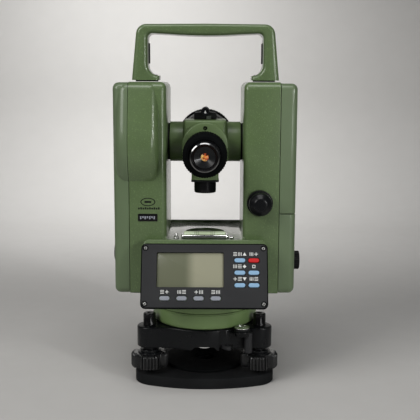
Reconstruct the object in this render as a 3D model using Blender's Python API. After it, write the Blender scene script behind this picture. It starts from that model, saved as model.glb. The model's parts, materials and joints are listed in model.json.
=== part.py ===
"""Electronic theodolite on its tribrach, as an assembly of separate pieces.

Frame: origin on the vertical axis, at the underside of the base plate. +Z is up, the keypad
and the eyepiece face -Y, and +X is to the operator's right. Lengths below are millimetres.
"""
import math

import bmesh
import bpy
from mathutils import Matrix, Vector

MM = 0.001
GAP = 0.3                        # clearance between pieces that meet
RUN = 0.3                        # radial clearance of a shaft in its hole
FINE, ROUND, SMALL = 36, 24, 14  # sides of a large, a middling and a small turned piece

# Base plate, spring plate and foot screws
PLATE_THICK = 9.6
PLATE_SIDE = 52.4                # axis to the middle of a side
PLATE_CORNER = (49.0, 20.0)      # distance from the axis and radius of a corner
TRIPOD_HOLE_R = 7.9              # clears a 5/8 inch tripod screw
SPRING_PLATE_R = (9.0, 37.5)
SPRING_PLATE_TOP = 12.5
FOOT_CIRCLE_R = 57.0
FOOT_ANGLES = {"foot_screw_front_left": 210, "foot_screw_front_right": 330, "foot_screw_rear": 90}
FOOT_TURNS = {"foot_screw_front_left": 6, "foot_screw_front_right": -9, "foot_screw_rear": 0}
FOOT_KNOB_R = 16.8
FOOT_KNOB_Z = (14.3, 26.6)
FOOT_LOBES = 4
FOOT_NOTCH = 3.2                 # depth of the notch between two lobes
FOOT_NOTCH_REACH = 0.16          # half its width, as a share of a lobe
FOOT_PIVOT_R = 4.0
FOOT_COLLAR_R, FOOT_COLLAR_TOP = 8.5, 30.0
FOOT_STEM_R, FOOT_THREAD_R = 5.9, 4.6
CAP_R, CAP_TOP, CAP_EDGE = 5.7, 63.0, 1.0

# Tribrach
BODY_Z = (33.0, 52.0)
BODY_R = 47.5
BODY_LOBE_R = 11.0
BODY_FILLET_R = 40.0
LEVEL_BOSS = (33.2, -44.2)
LEVEL_BOSS_R = 7.4
LEVEL_BOSS_Z = (31.0, 51.8)
LEVEL_SEAT = 52.1
LEVEL_TOP = 54.6
LEVEL_RIM_R, LEVEL_VIAL_R = 6.9, 5.6
LEVER_PIVOT = (17.0, -41.0)
LEVER_Z = (34.0, 37.4)
LEVER_ANGLE, LEVER_LENGTH, LEVER_HALF = -43, 6.4, 2.2
RECESS_LEFT = 13.0               # recess of the lock lever, in the front of the body
RECESS_Y, RECESS_LOW_Y = -43.2, -36.0
ARCH_LOW, ARCH_HIGH, ARCH_HEIGHT = 12.0, 8.0, 4.0
FRONT_Y = -60.0                  # in front of the whole base

# Drum, circle and vertical axis
DRUM_R = 47.8
DRUM_Z = (BODY_Z[1] + GAP, 66.2)
DRUM_EDGE = ((45.4, 0.0), (46.8, 0.9), (47.8, 2.7))  # radius and height of its lower edge
DRUM_WALL, DRUM_FLOOR = 3.0, 4.0
SLEEVE_R, SLEEVE_Z = 14.0, (38.0, 64.0)
CIRCLE_R, CIRCLE_Z = 42.0, (60.5, 62.0)
SPINDLE_R, SPINDLE_Z = 8.0, (39.0, 88.0)
SKIRT_BOTTOM = 66.8

# Alidade: standards, deck and covers
STANDARD_Z = (84.0, 267.4)
STANDARD_Y = 42.0
STANDARD_EDGE = 3.0
INNER_X = 33.0                   # inner faces of both standards
SEAM_LEFT, SEAM_RIGHT = -65.0, 64.0
COVER_X = 78.5
COVER_EDGE = 3.5
COVER_WALL, COVER_SIDE_WALL, COVER_ROOF = 3.0, 2.5, 4.0
DECK_Z = 132.0
DECK_RECESS_R, DECK_RECESS_DEPTH = 17.8, 2.5
DECK_THICK = 6.0
DECK_HOLLOW = (30.0, 34.0)       # half width and half depth under the deck
WALL = 5.0
FLOOR = 6.0
BATTERY_TOP = 155.0
BATTERY_SHELF = (4.0, 3.0)       # material of the frame under and over the battery's top
COVER_TOP = STANDARD_Z[1] - 1.0
TRUNNION_Z = 214.5
TRUNNION_BORE_R = 16.0
CIRCLE_HOUSING_R = 52.4
HOUSING_SEAT = 0.1               # the housing starts this far inside the seam
HOUSING_INNER = ((0.0, 18.0), (2.0, 21.0), (9.0, 24.5))  # loss of radius and reach, towards the telescope
HOUSING_OUTER = ((0.0, 5.0), (3.0, 7.5), (9.5, 9.0))     # the same, on the cover
BOARD_X, BOARD_Y, BOARD_Z = (54.0, 55.6), (-32.0, 32.0), (165.0, 255.0)
BATTERY_PLUG_X, BATTERY_PLUG_Y = 45.0, 33.0
BATTERY_PLUG_LOW, BATTERY_PLUG_HIGH = 9.0, 8.0           # below it and above it

# Plate level on the deck
LEVEL_Y, LEVEL_HALF, LEVEL_DEPTH = -38.0, 20.5, 5.5
LEVEL_AXIS, LEVEL_HEIGHT = 3.6, 6.2
VIAL_R, VIAL_BORE_R = 3.5, 3.9
VIAL_WALL, WINDOW_WALL, WINDOW_HALF = 2.0, 5.0, 3.5

# Display panels: heights and distances of the front face's top and bottom edges
PANEL_TOP, PANEL_BOTTOM = (56.7, 132.0), (77.0, 80.4)
PANEL_WIDTH, PANEL_THICK, PANEL_CORNER_R = 107.4, 3.5, 3.5
PANEL_SLANT = math.dist(PANEL_TOP, PANEL_BOTTOM)
PANEL_RISE = (PANEL_TOP[1] - PANEL_BOTTOM[1]) / PANEL_SLANT
PANEL_RUN = (PANEL_BOTTOM[0] - PANEL_TOP[0]) / PANEL_SLANT
LCD_CENTRE, LCD_SIZE, LCD_DEPTH = (-12.0, 5.2), (56.8, 29.6), (-3.2, -1.0)
SCREW_AT = (49.9, 23.0)
SCREW_R, SCREW_HEAD_R, SCREW_SEAT, SCREW_DEPTH = 1.5, 2.9, 1.4, 6.0
PILL_KEYS = 4
PILL_X, PILL_PITCH, PILL_Y = -33.3, 14.3, -19.0
PILL_SIZE = (8.6, 3.6)
PAD_COLUMNS, PAD_ROWS = (29.9, 41.7), (13.3, 2.8, -7.8)
PAD_SIZE = (9.2, 3.7)
KEY_PROUD, KEY_ROOT, KEY_EDGE = 0.9, 1.0, 0.3
HOUSING_HALF = 52.2
HOUSING_FOOT = ((92.0, 0.0), (88.5, 58.0), (83.5, 70.5))  # height and distance of its underside
HOUSING_LIP = 82.5
HOUSING_TOP = DECK_Z + 2.0
HOUSING_LEDGE = (49.5, 48.0)
POCKET_X, POCKET_Y, POCKET_DEPTH = (-46.0, 47.0), (-24.0, 21.0), 4.0

# Telescope
BLOCK_HALF = 18.9
BLOCK_Y = (-21.0, 20.0)
BLOCK_Z = (196.0, 234.3)
ARCH_R, ARCH_DROP, ARCH_PROUD = 20.3, 2.3, 4.0
BORE_R, BORE_RISE = 9.0, 2.0     # light path through the block, above the eyepiece's axis
TUBE_R, TUBE_END = 17.8, 31.5
SHAFT_R = 11.0
SHAFT_ROOT = 5.5
SHAFT_ENDS = {"left": 58.0, "right": 46.0}
BEARING_R = 15.7
ENCODER_R, ENCODER_X = 35.5, (55.0, 56.4)
EYE_Z = TRUNNION_Z - 8.0
CONE_OUTER = ((19.0, 27.0), (24.0, 44.0), (25.2, 59.7))  # radius and distance, towards the objective
CONE_INNER = ((22.7, 59.7), (21.5, 44.0), (16.5, 27.0))
HOOD_R, HOOD_Y = 28.0, (60.0, 76.0)
HOOD_BORE_R, HOOD_LIP = 24.5, 1.0
LENS = ((0.0, 61.5), (24.2, 62.5), (24.2, 65.5), (16.0, 67.5), (0.0, 68.5))
FOCUS_R, FOCUS_Y = 19.1, (-59.0, -29.0)
EYE_FLANGE_R, EYE_BARREL_R, EYE_BORE_R = 13.0, 10.0, 8.0
EYE_TUBE_Y = (-25.3, -58.0, -65.0)
EYE_RING_R, EYE_RING_Y = 12.3, (-75.0, -61.5)
EYE_RING_NECK_R, EYE_RING_BORE_R, EYE_RING_STOP = 11.3, 9.0, 68.5
EYE_LENS = ((0.0, 69.0), (8.7, 69.0), (8.7, 71.5), (5.0, 72.3), (0.0, 72.6))
NECK_HALF, NECK_BOTTOM, MODULE_Y = 12.0, 181.6, -7.0
MODULE_R, MODULE_BOTTOM = 9.9, 169.3
FLANGE_HALF, FLANGE_THICK = 12.3, 1.6
SIGHT_R, SIGHT_Z, SIGHT_Y, SIGHT_WALL = 3.8, 241.6, (-14.0, 16.0), 1.0
SIGHT_BASE_X, SIGHT_BASE_Y = 10.0, (-6.0, 8.0)

# Knobs: each drive is a clamp ring and a tangent knob on one axis
VERTICAL_DRIVE = (47.2, 165.0)   # X and Z of the axis
VERTICAL_RING = (4.3, 11.3, 5.7) # bore, radius and depth
VERTICAL_KNOB = ((0, -6.0), (4.0, -6.0), (4.0, 6.0), (9.8, 6.0), (9.8, 14.0), (8.8, 16.2), (5.5, 17.7),
                 (0, 17.7))
HORIZONTAL_DRIVE = (28.0, 75.0)
DRIVE_FACE_Y = 49.0
HORIZONTAL_BOSS_R, HORIZONTAL_BORE_R = 8.0, 3.4
HORIZONTAL_RING = (3.3, 8.5, 5.5)
HORIZONTAL_KNOB = ((0, -8.0), (3.0, -8.0), (3.0, 5.8), (7.0, 5.8), (7.0, 16.0), (6.0, 17.5), (0, 17.5))
PLUMMET_Z, PLUMMET_R, PLUMMET_WALL = 74.5, 6.0, 2.5
PLUMMET_Y = (40.0, 54.0)
PLUMMET_EYEPIECE = ((2.5, 54.3), (6.5, 54.3), (6.5, 60.0), (5.5, 64.0), (2.5, 64.0))
SIDE_KNOB_Z, SIDE_KNOB_R, SIDE_REACH = 108.2, 8.3, 85.3
LOCK_Y, LOCK_STEM_R, LOCK_STEM_X, LOCK_HOLE_X = -12.0, 3.0, 71.0, 70.0
PORT_Y, PORT_R = 20.0, 8.0

# Handle
HANDLE_TOP, HANDLE_BAR = 317.6, 9.5
HANDLE_HALF_TOP, HANDLE_HALF_FOOT = 60.0, 64.8
HANDLE_INNER = 50.6
HANDLE_Y = 13.0
HANDLE_CORNER_R, HANDLE_INNER_R = 8.0, 5.0
HANDLE_PAD, HANDLE_PAD_HEIGHT = (43.0, 61.0), 1.2
FOOT_INNER, FLARE_Z, FLARE_R = 40.6, 283.0, 10.0

# Colour, roughness and metallic value of each finish
FINISHES = {
    "green_paint": ((0.10, 0.16, 0.07), 0.35, 0.0),
    "black_paint": ((0.020, 0.021, 0.022), 0.25, 0.0),
    "black_plastic": ((0.022, 0.022, 0.024), 0.4, 0.0),
    "charcoal_panel": ((0.055, 0.055, 0.06), 0.45, 0.0),
    "steel": ((0.55, 0.55, 0.54), 0.25, 1.0),
    "glass": ((0.8, 0.9, 0.85), 0.05, 0.0),
    "coated_lens": ((0.3, 0.08, 0.04), 0.05, 0.0),
    "lcd_glass": ((0.35, 0.38, 0.34), 0.2, 0.0),
    "circuit_board": ((0.03, 0.2, 0.08), 0.5, 0.0),
    "key_grey": ((0.6, 0.63, 0.65), 0.5, 0.0),
    "key_blue": ((0.35, 0.55, 0.7), 0.5, 0.0),
    "key_red": ((0.5, 0.05, 0.04), 0.5, 0.0),
}


# ---------------------------------------------------------------- outlines

def arc(cx, cy, r, start, end, steps):
    """Points on a circle about (cx, cy), angles in degrees, both ends included."""
    angles = [math.radians(start + (end - start) * k / steps) for k in range(steps + 1)]
    return [(cx + r * math.cos(a), cy + r * math.sin(a)) for a in angles]


def circle(r, sides, cx=0.0, cy=0.0):
    return arc(cx, cy, r, 0, 360, sides)[:-1]


def rounded_rect(width, height, r, cx=0.0, cy=0.0, steps=4):
    x, y = width / 2 - r, height / 2 - r
    corners = [(x, y, 0), (-x, y, 90), (-x, -y, 180), (x, -y, 270)]
    return [p for px, py, a in corners for p in arc(cx + px, cy + py, r, a, a + 90, steps)]


def rounded_triangle(side, corner):
    """Three flat arcs joined by three corner arcs, all tangent."""
    reach, r = corner
    t = side - reach / 2
    big = (0.75 * reach ** 2 + t ** 2 - r ** 2) / (2 * (t - r))
    half = math.degrees(math.asin(reach * math.sqrt(0.75) / (big - r)))
    points = []
    for k in range(3):
        turn = 120 * k
        a = math.radians(90 + turn)
        points += arc(reach * math.cos(a), reach * math.sin(a), r,
                      30 + turn + half, 150 + turn - half, 6)
        a = math.radians(150 + turn)
        points += arc((side - big) * math.cos(a), (side - big) * math.sin(a), big,
                      150 + turn - half, 150 + turn + half, 6)[1:-1]
    return points


def lobed_disc(r, distance, lobe_r, fillet_r, lobe_angles):
    """A disc with a round lobe at each angle, filleted into it."""
    a, b, c = lobe_r + fillet_r, distance, r + fillet_r
    beta = math.degrees(math.acos((b * b + c * c - a * a) / (2 * b * c)))
    gamma = math.degrees(math.acos((a * a + b * b - c * c) / (2 * a * b)))
    points = []
    for angle in lobe_angles:
        low, high = math.radians(angle - beta), math.radians(angle + beta)
        points += arc(c * math.cos(low), c * math.sin(low), fillet_r,
                      angle - beta + 180, angle + gamma, 3)[:-1]
        lobe = math.radians(angle)
        points += arc(b * math.cos(lobe), b * math.sin(lobe), lobe_r,
                      angle - 180 + gamma, angle + 180 - gamma, 8)
        points += arc(c * math.cos(high), c * math.sin(high), fillet_r,
                      angle - gamma, angle + beta - 180, 3)[1:]
        points += arc(0, 0, r, angle + beta, angle + 120 - beta, 8)[1:-1]
    return points


def knob_outline(r, lobes, notch, sides_per_lobe=10):
    """A knob's rim: round lobes with a smooth notch between each two."""
    points = []
    for k in range(lobes * sides_per_lobe):
        phase = k / sides_per_lobe
        near = abs(phase - round(phase - 0.5) - 0.5)
        radius = r - notch * max(0.0, 1 - near / FOOT_NOTCH_REACH) ** 0.5
        a = 2 * math.pi * phase / lobes
        points.append((radius * math.cos(a), radius * math.sin(a)))
    return points


# ---------------------------------------------------------------- solids

def closed(bm):
    bmesh.ops.recalc_face_normals(bm, faces=bm.faces)
    return bm


def prism(outline, low, high, axis="Z"):
    """An outline extruded along an axis; it lies in the other two axes, in X, Y, Z order."""
    place = {"X": lambda a, b, t: (t, a, b), "Y": lambda a, b, t: (a, t, b),
             "Z": lambda a, b, t: (a, b, t)}[axis]
    bm = bmesh.new()
    rings = [[bm.verts.new(place(a, b, t)) for a, b in outline] for t in (low, high)]
    for ring in rings:
        bm.faces.new(ring)
    for k in range(len(outline)):
        j = (k + 1) % len(outline)
        bm.faces.new((rings[0][k], rings[0][j], rings[1][j], rings[1][k]))
    return closed(bm)


def box(x, y, z):
    return prism([(x[0], y[0]), (x[1], y[0]), (x[1], y[1]), (x[0], y[1])], z[0], z[1])


def turned(profile, sides, base=(0, 0, 0), direction=(0, 0, 1)):
    """A closed profile of (radius, height) turned about an axis; radius 0 closes on the axis."""
    bm = bmesh.new()
    rings = []
    for r, h in profile:
        if r == 0:
            rings.append([bm.verts.new((0, 0, h))] * sides)
        else:
            rings.append([bm.verts.new((x, y, h)) for x, y in circle(r, sides)])
    for lower, upper in zip(rings, rings[1:] + rings[:1]):
        if lower[0] is lower[1] and upper[0] is upper[1]:
            continue
        for k in range(sides):
            j = (k + 1) % sides
            quad = [lower[k], lower[j], upper[j], upper[k]]
            bm.faces.new(list(dict.fromkeys(quad)))
    turn = Vector((0, 0, 1)).rotation_difference(Vector(direction).normalized())
    bm.transform(Matrix.Translation(base) @ turn.to_matrix().to_4x4())
    return closed(bm)


def cylinder(r, low, high, sides=ROUND, base=(0, 0, 0), direction=(0, 0, 1)):
    return turned([(0, low), (r, low), (r, high), (0, high)], sides, base, direction)


def ring(inner, outer, low, high, sides=ROUND, base=(0, 0, 0), direction=(0, 0, 1)):
    profile = [(inner, low), (outer, low), (outer, high), (inner, high)]
    return turned(profile, sides, base, direction)


def together(solids):
    """Several separate solids in one mesh."""
    bm = bmesh.new()
    mesh = bpy.data.meshes.new("joined")
    for solid in solids:
        solid.to_mesh(mesh)
        bm.from_mesh(mesh)
        solid.free()
    bpy.data.meshes.remove(mesh)
    return bm


def placed(bm, matrix):
    bm.transform(matrix)
    return bm


# ---------------------------------------------------------------- objects

def finish_material(name):
    colour, roughness, metallic = FINISHES[name]
    mat = bpy.data.materials.get(name) or bpy.data.materials.new(name)
    mat.use_nodes = True
    shader = mat.node_tree.nodes["Principled BSDF"]
    shader.inputs["Base Color"].default_value = (*colour, 1)
    shader.inputs["Roughness"].default_value = roughness
    shader.inputs["Metallic"].default_value = metallic
    return mat


def mesh_object(name, bm, origin):
    """A mesh built in place, given an origin of its own."""
    bm.transform(Matrix.Scale(MM, 4) @ Matrix.Translation(-Vector(origin)))
    mesh = bpy.data.meshes.new(name)
    bm.to_mesh(mesh)
    bm.free()
    obj = bpy.data.objects.new(name, mesh)
    bpy.context.scene.collection.objects.link(obj)
    return obj


def axis_empty(name, origin, parent=None):
    empty = bpy.data.objects.new(name, None)
    bpy.context.scene.collection.objects.link(empty)
    empty["origin"] = origin
    attach(empty, origin, parent)
    return empty


def attach(obj, origin, parent):
    start = Vector(parent["origin"]) if parent else Vector((0, 0, 0))
    obj.parent = parent
    obj.location = (Vector(origin) - start) * MM


def piece(name, bm, finish, parent=None, origin=(0, 0, 0)):
    obj = mesh_object(name, bm, origin)
    obj["origin"] = origin
    attach(obj, origin, parent)
    obj.data.materials.append(finish_material(finish))
    obj.data.shade_smooth()
    obj.data.set_sharp_from_angle(angle=math.radians(35))
    return obj


def soften(obj, width, segments=2):
    bevel = obj.modifiers.new("edges", "BEVEL")
    bevel.width = width * MM
    bevel.segments = segments
    bevel.limit_method = "ANGLE"
    bevel.angle_limit = math.radians(50)


def combine(obj, bm, operation):
    tool = mesh_object(f"{obj.name}_tool_{len(obj.modifiers)}", bm, obj["origin"])
    tool.parent = obj
    tool.hide_render = True
    tool.display_type = "WIRE"
    boolean = obj.modifiers.new(operation.lower(), "BOOLEAN")
    boolean.operation = operation
    boolean.object = tool


def cut(obj, *solids):
    for bm in solids:
        combine(obj, bm, "DIFFERENCE")


def add(obj, *solids):
    for bm in solids:
        combine(obj, bm, "UNION")


# ---------------------------------------------------------------- base

def foot_centre(angle):
    a = math.radians(angle)
    return FOOT_CIRCLE_R * math.cos(a), FOOT_CIRCLE_R * math.sin(a)


def make_base_plate():
    plate = piece("base_plate", prism(rounded_triangle(PLATE_SIDE, PLATE_CORNER), 0, PLATE_THICK),
                  "black_paint")
    soften(plate, 0.8, 1)
    cut(plate, cylinder(TRIPOD_HOLE_R, -1, PLATE_THICK + 1))
    piece("spring_plate", ring(*SPRING_PLATE_R, PLATE_THICK + GAP, SPRING_PLATE_TOP, FINE), "black_paint")


def make_foot_screws():
    low, high = FOOT_KNOB_Z
    foot, seat = PLATE_THICK + GAP, BODY_Z[0] - GAP
    thread_top, cap_low = BODY_Z[1] - 1, BODY_Z[1] + GAP
    stem = [(0, foot), (FOOT_PIVOT_R, foot), (FOOT_PIVOT_R, low + 1), (FOOT_COLLAR_R, low + 1),
            (FOOT_COLLAR_R, FOOT_COLLAR_TOP), (FOOT_STEM_R, FOOT_COLLAR_TOP), (FOOT_STEM_R, seat),
            (FOOT_THREAD_R, seat), (FOOT_THREAD_R, thread_top), (0, thread_top)]
    top = [(0, cap_low), (CAP_R, cap_low), (CAP_R, CAP_TOP - CAP_EDGE), (CAP_R - CAP_EDGE, CAP_TOP),
           (0, CAP_TOP)]
    for name, angle in FOOT_ANGLES.items():
        x, y = foot_centre(angle)
        spot = Matrix.Translation((x, y, 0)) @ Matrix.Rotation(math.radians(FOOT_TURNS[name]), 4, "Z")
        knob = prism(knob_outline(FOOT_KNOB_R, FOOT_LOBES, FOOT_NOTCH), low, high)
        screw = piece(name, placed(knob, spot), "black_plastic", origin=(x, y, 0))
        soften(screw, 0.8, 1)
        add(screw, turned(stem, SMALL, (x, y, 0)))
        piece(name.replace("screw", "cap"), turned(top, SMALL, (x, y, 0)), "black_plastic")


def make_tribrach():
    low, high = BODY_Z
    outline = lobed_disc(BODY_R, FOOT_CIRCLE_R, BODY_LOBE_R, BODY_FILLET_R, FOOT_ANGLES.values())
    body = piece("tribrach_body", prism(outline, low, high), "black_paint")
    soften(body, 1.2, 1)
    boss = (*LEVEL_BOSS, 0)
    add(body, cylinder(LEVEL_BOSS_R, *LEVEL_BOSS_Z, ROUND, boss))
    recess = (RECESS_LEFT, LEVEL_BOSS[0] - LEVEL_BOSS_R - GAP)
    arch = [(-ARCH_LOW, low - 1), (ARCH_LOW, low - 1), (ARCH_HIGH, low + ARCH_HEIGHT),
            (-ARCH_HIGH, low + ARCH_HEIGHT)]
    threads = [cylinder(FOOT_THREAD_R + RUN, low - 5, high - 0.7, SMALL, (*foot_centre(angle), 0))
               for angle in FOOT_ANGLES.values()]
    cut(body,
        cylinder(SLEEVE_R + RUN, low - 5, high + 1),
        together(threads),
        box(recess, (FRONT_Y, RECESS_Y), (low - 5, high + 5)),
        box(recess, (FRONT_Y, RECESS_LOW_Y), (low - 5, LEVER_Z[1] + GAP)),
        prism(arch, FRONT_Y, RECESS_LOW_Y, "Y"))
    rim = [(LEVEL_VIAL_R + GAP, LEVEL_SEAT), (LEVEL_RIM_R, LEVEL_SEAT), (LEVEL_RIM_R, LEVEL_TOP - 1),
           (LEVEL_RIM_R - 0.5, LEVEL_TOP), (LEVEL_VIAL_R + GAP, LEVEL_TOP)]
    piece("circular_level", turned(rim, ROUND, boss), "steel")
    piece("circular_level_vial", cylinder(LEVEL_VIAL_R, LEVEL_SEAT, LEVEL_TOP - 0.6, ROUND, boss), "glass")


def make_lock_lever():
    outline = arc(0, 0, LEVER_HALF, 90, 270, 6) + arc(LEVER_LENGTH, 0, LEVER_HALF, -90, 90, 6)
    pivot = (*LEVER_PIVOT, 0)
    turn = Matrix.Translation(pivot) @ Matrix.Rotation(math.radians(LEVER_ANGLE), 4, "Z")
    piece("tribrach_lock_lever", placed(prism(outline, *LEVER_Z), turn), "steel", origin=pivot)


def make_drum():
    low, high = DRUM_Z
    bore, inside, floor = SPINDLE_R + RUN, DRUM_R - DRUM_WALL, low + DRUM_FLOOR
    profile = [(bore, SLEEVE_Z[0]), (SLEEVE_R, SLEEVE_Z[0]), (SLEEVE_R, low)]
    profile += [(r, low + h) for r, h in DRUM_EDGE]
    profile += [(DRUM_R, high), (inside, high), (inside, floor), (SLEEVE_R, floor),
                (SLEEVE_R, SLEEVE_Z[1]), (bore, SLEEVE_Z[1])]
    piece("base_drum", turned(profile, FINE), "green_paint")
    piece("horizontal_circle", ring(SLEEVE_R + GAP, CIRCLE_R, *CIRCLE_Z, FINE), "glass")


# ---------------------------------------------------------------- alidade

def housing_profile(steps):
    """Half section of the vertical circle's housing, from its flat start to its stepped end."""
    r, (_, reach) = CIRCLE_HOUSING_R, steps[-1]
    return [(0, 0), (r, 0)] + [(r - loss, x) for loss, x in steps] + [(0, reach)]


def make_frame(body):
    low, high = STANDARD_Z
    outline = [(SEAM_LEFT, low), (SEAM_RIGHT, low), (SEAM_RIGHT, high), (INNER_X, high),
               (INNER_X, DECK_Z), (-INNER_X, DECK_Z), (-INNER_X, high), (SEAM_LEFT, high)]
    frame = piece("alidade_frame", prism(outline, -STANDARD_Y, STANDARD_Y, "Y"), "green_paint", body)
    soften(frame, STANDARD_EDGE)
    drive = (HORIZONTAL_DRIVE[0], 0, HORIZONTAL_DRIVE[1])
    plummet = (0, 0, PLUMMET_Z)
    wall_x, wall_y = INNER_X + WALL, STANDARD_Y - WALL
    floor, roof = low + FLOOR, high - WALL
    shelf_low, shelf_high = BATTERY_SHELF
    hollow_x, hollow_y = DECK_HOLLOW
    add(frame,
        cylinder(DRUM_R, SKIRT_BOTTOM, low + 3, FINE),
        turned(housing_profile(HOUSING_INNER), FINE, (SEAM_LEFT + HOUSING_SEAT, 0, TRUNNION_Z), (1, 0, 0)),
        cylinder(HORIZONTAL_BOSS_R, wall_y - 2, DRIVE_FACE_Y - GAP, SMALL, drive, (0, 1, 0)),
        cylinder(PLUMMET_R, *PLUMMET_Y, SMALL, plummet, (0, 1, 0)))
    cut(frame,
        box((SEAM_LEFT - 1, -wall_x), (-wall_y, wall_y), (floor, roof)),
        box((wall_x, SEAM_RIGHT + 1), (-wall_y, wall_y), (floor, BATTERY_TOP - shelf_low)),
        box((wall_x, SEAM_RIGHT + 1), (-wall_y, wall_y), (BATTERY_TOP + shelf_high, roof)),
        box((-hollow_x, wall_x + 1), (-hollow_y, hollow_y), (floor, DECK_Z - DECK_THICK)),
        cylinder(TRUNNION_BORE_R, -60, 60, ROUND, (0, 0, TRUNNION_Z), (1, 0, 0)),
        cylinder(DECK_RECESS_R, DECK_Z - DECK_RECESS_DEPTH, DECK_Z + 1, ROUND),
        cylinder(SPINDLE_R + RUN, SKIRT_BOTTOM - 1, SPINDLE_Z[1] + GAP, SMALL),
        cylinder(VERTICAL_RING[0], -50, -30, SMALL, (VERTICAL_DRIVE[0], 0, VERTICAL_DRIVE[1]), (0, 1, 0)),
        cylinder(HORIZONTAL_BORE_R, 38, 52, 16, drive, (0, 1, 0)),
        cylinder(PLUMMET_R - PLUMMET_WALL, 20, 60, SMALL, plummet, (0, 1, 0)))
    piece("vertical_spindle", cylinder(SPINDLE_R, *SPINDLE_Z, SMALL), "steel", body)


def make_covers(body):
    low = STANDARD_Z[0]
    inner_x, inner_y, roof = COVER_X - COVER_SIDE_WALL, STANDARD_Y - COVER_WALL, COVER_TOP - COVER_ROOF
    left = piece("left_cover", box((-COVER_X, SEAM_LEFT - GAP), (-STANDARD_Y, STANDARD_Y),
                                   (low, COVER_TOP)), "green_paint", body)
    soften(left, COVER_EDGE)
    add(left, turned(housing_profile(HOUSING_OUTER), FINE, (SEAM_LEFT - GAP, 0, TRUNNION_Z), (-1, 0, 0)))
    cut(left, box((-inner_x, SEAM_LEFT + 1), (-inner_y, inner_y), (low + COVER_ROOF, roof)))
    right = piece("right_cover", box((SEAM_RIGHT + GAP, COVER_X), (-STANDARD_Y, STANDARD_Y),
                                     (BATTERY_TOP + GAP, COVER_TOP)), "green_paint", body)
    soften(right, COVER_EDGE)
    cut(right, box((SEAM_RIGHT - 1, inner_x), (-inner_y, inner_y), (BATTERY_TOP + COVER_ROOF, roof)))
    cap = [(0, COVER_X + GAP), (PORT_R, COVER_X + GAP), (PORT_R, SIDE_REACH - 1), (PORT_R - 1, SIDE_REACH),
           (0, SIDE_REACH)]
    piece("data_port_cap", turned(cap, SMALL, (0, PORT_Y, SIDE_KNOB_Z), (-1, 0, 0)), "black_plastic", body)
    piece("main_board", box(BOARD_X, BOARD_Y, BOARD_Z), "circuit_board", body)


def make_battery(parent):
    low = STANDARD_Z[0]
    x = SEAM_RIGHT + 2 * GAP
    lock = (0, LOCK_Y, SIDE_KNOB_Z)
    pack = piece("battery_pack", box((x, COVER_X), (-STANDARD_Y, STANDARD_Y), (low, BATTERY_TOP - GAP)),
                 "green_paint", parent, (x, 0, SIDE_KNOB_Z))
    soften(pack, COVER_EDGE)
    add(pack, box((BATTERY_PLUG_X, x + 4), (-BATTERY_PLUG_Y, BATTERY_PLUG_Y),
                  (low + BATTERY_PLUG_LOW, BATTERY_TOP - BATTERY_PLUG_HIGH)))
    cut(pack, cylinder(LOCK_STEM_R + RUN, LOCK_HOLE_X, COVER_X + 10, SMALL, lock, (1, 0, 0)))
    face = COVER_X + GAP
    knob = [(0, LOCK_STEM_X), (LOCK_STEM_R, LOCK_STEM_X), (LOCK_STEM_R, face), (SIDE_KNOB_R, face),
            (SIDE_KNOB_R, SIDE_REACH - 1), (SIDE_KNOB_R - 1, SIDE_REACH), (0, SIDE_REACH)]
    piece("battery_lock_knob", turned(knob, SMALL, lock, (1, 0, 0)), "black_plastic", pack,
          (x, LOCK_Y, SIDE_KNOB_Z))


def make_plate_level(body):
    axis = (0, LEVEL_Y, DECK_Z + LEVEL_AXIS)
    window = LEVEL_HALF - WINDOW_WALL
    vial = LEVEL_HALF - VIAL_WALL
    holder = piece("plate_level_housing",
                   box((-LEVEL_HALF, LEVEL_HALF), (LEVEL_Y - LEVEL_DEPTH, LEVEL_Y + LEVEL_DEPTH),
                       (DECK_Z + GAP, DECK_Z + LEVEL_HEIGHT)), "black_paint", body)
    soften(holder, 1.2)
    cut(holder, cylinder(VIAL_BORE_R, -vial, vial, SMALL, axis, (1, 0, 0)),
        box((-window, window), (LEVEL_Y - WINDOW_HALF, LEVEL_Y + WINDOW_HALF), (axis[2], axis[2] + 6)))
    piece("plate_level_vial", cylinder(VIAL_R, -vial + 0.4, vial - 0.4, SMALL, axis, (1, 0, 0)), "glass", body)


def make_handle(body):
    top, base = HANDLE_TOP, STANDARD_Z[1] + GAP
    bar = top - HANDLE_BAR
    r, inner_r = HANDLE_CORNER_R, HANDLE_INNER_R
    sole = base + HANDLE_PAD_HEIGHT
    pad_in, pad_out = HANDLE_PAD
    outer = [(HANDLE_HALF_FOOT, sole)] + arc(HANDLE_HALF_TOP - r, top - r, r, 0, 90, 6)
    inner = [(HANDLE_INNER, bar - inner_r)] + arc(HANDLE_INNER - inner_r, bar - inner_r, inner_r, 0, 90, 4)
    flare = arc(FOOT_INNER, FLARE_Z, FLARE_R, 0, -88, 6)
    right = outer + [(-x, z) for x, z in reversed(outer)]
    left_leg = [(-pad_out, sole), (-pad_out, base), (-pad_in, base), (-FOOT_INNER, sole)]
    left_leg += [(-x, z) for x, z in reversed(flare)] + [(-x, z) for x, z in inner]
    right_leg = [(-x, z) for x, z in reversed(left_leg)]
    handle = piece("handle", prism(right + left_leg + right_leg, -HANDLE_Y, HANDLE_Y, "Y"),
                   "green_paint", body)
    soften(handle, 2.5)


# ---------------------------------------------------------------- displays

def panel_plane(side):
    """Frame of a display's front face: X to the reader's right, Y up the slope, Z out of it."""
    right = Vector((-side, 0, 0))
    up = Vector((0, -side * PANEL_RUN, PANEL_RISE))
    out = Vector((0, side * PANEL_RISE, PANEL_RUN))
    middle = ((PANEL_TOP[0] + PANEL_BOTTOM[0]) / 2, (PANEL_TOP[1] + PANEL_BOTTOM[1]) / 2)
    axes = Matrix((right, up, out)).transposed().to_4x4()
    return Matrix.Translation((0, side * middle[0], middle[1])) @ axes


def screw_points():
    return [(sx * SCREW_AT[0], sy * SCREW_AT[1]) for sx in (-1, 1) for sy in (-1, 1)]


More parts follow.
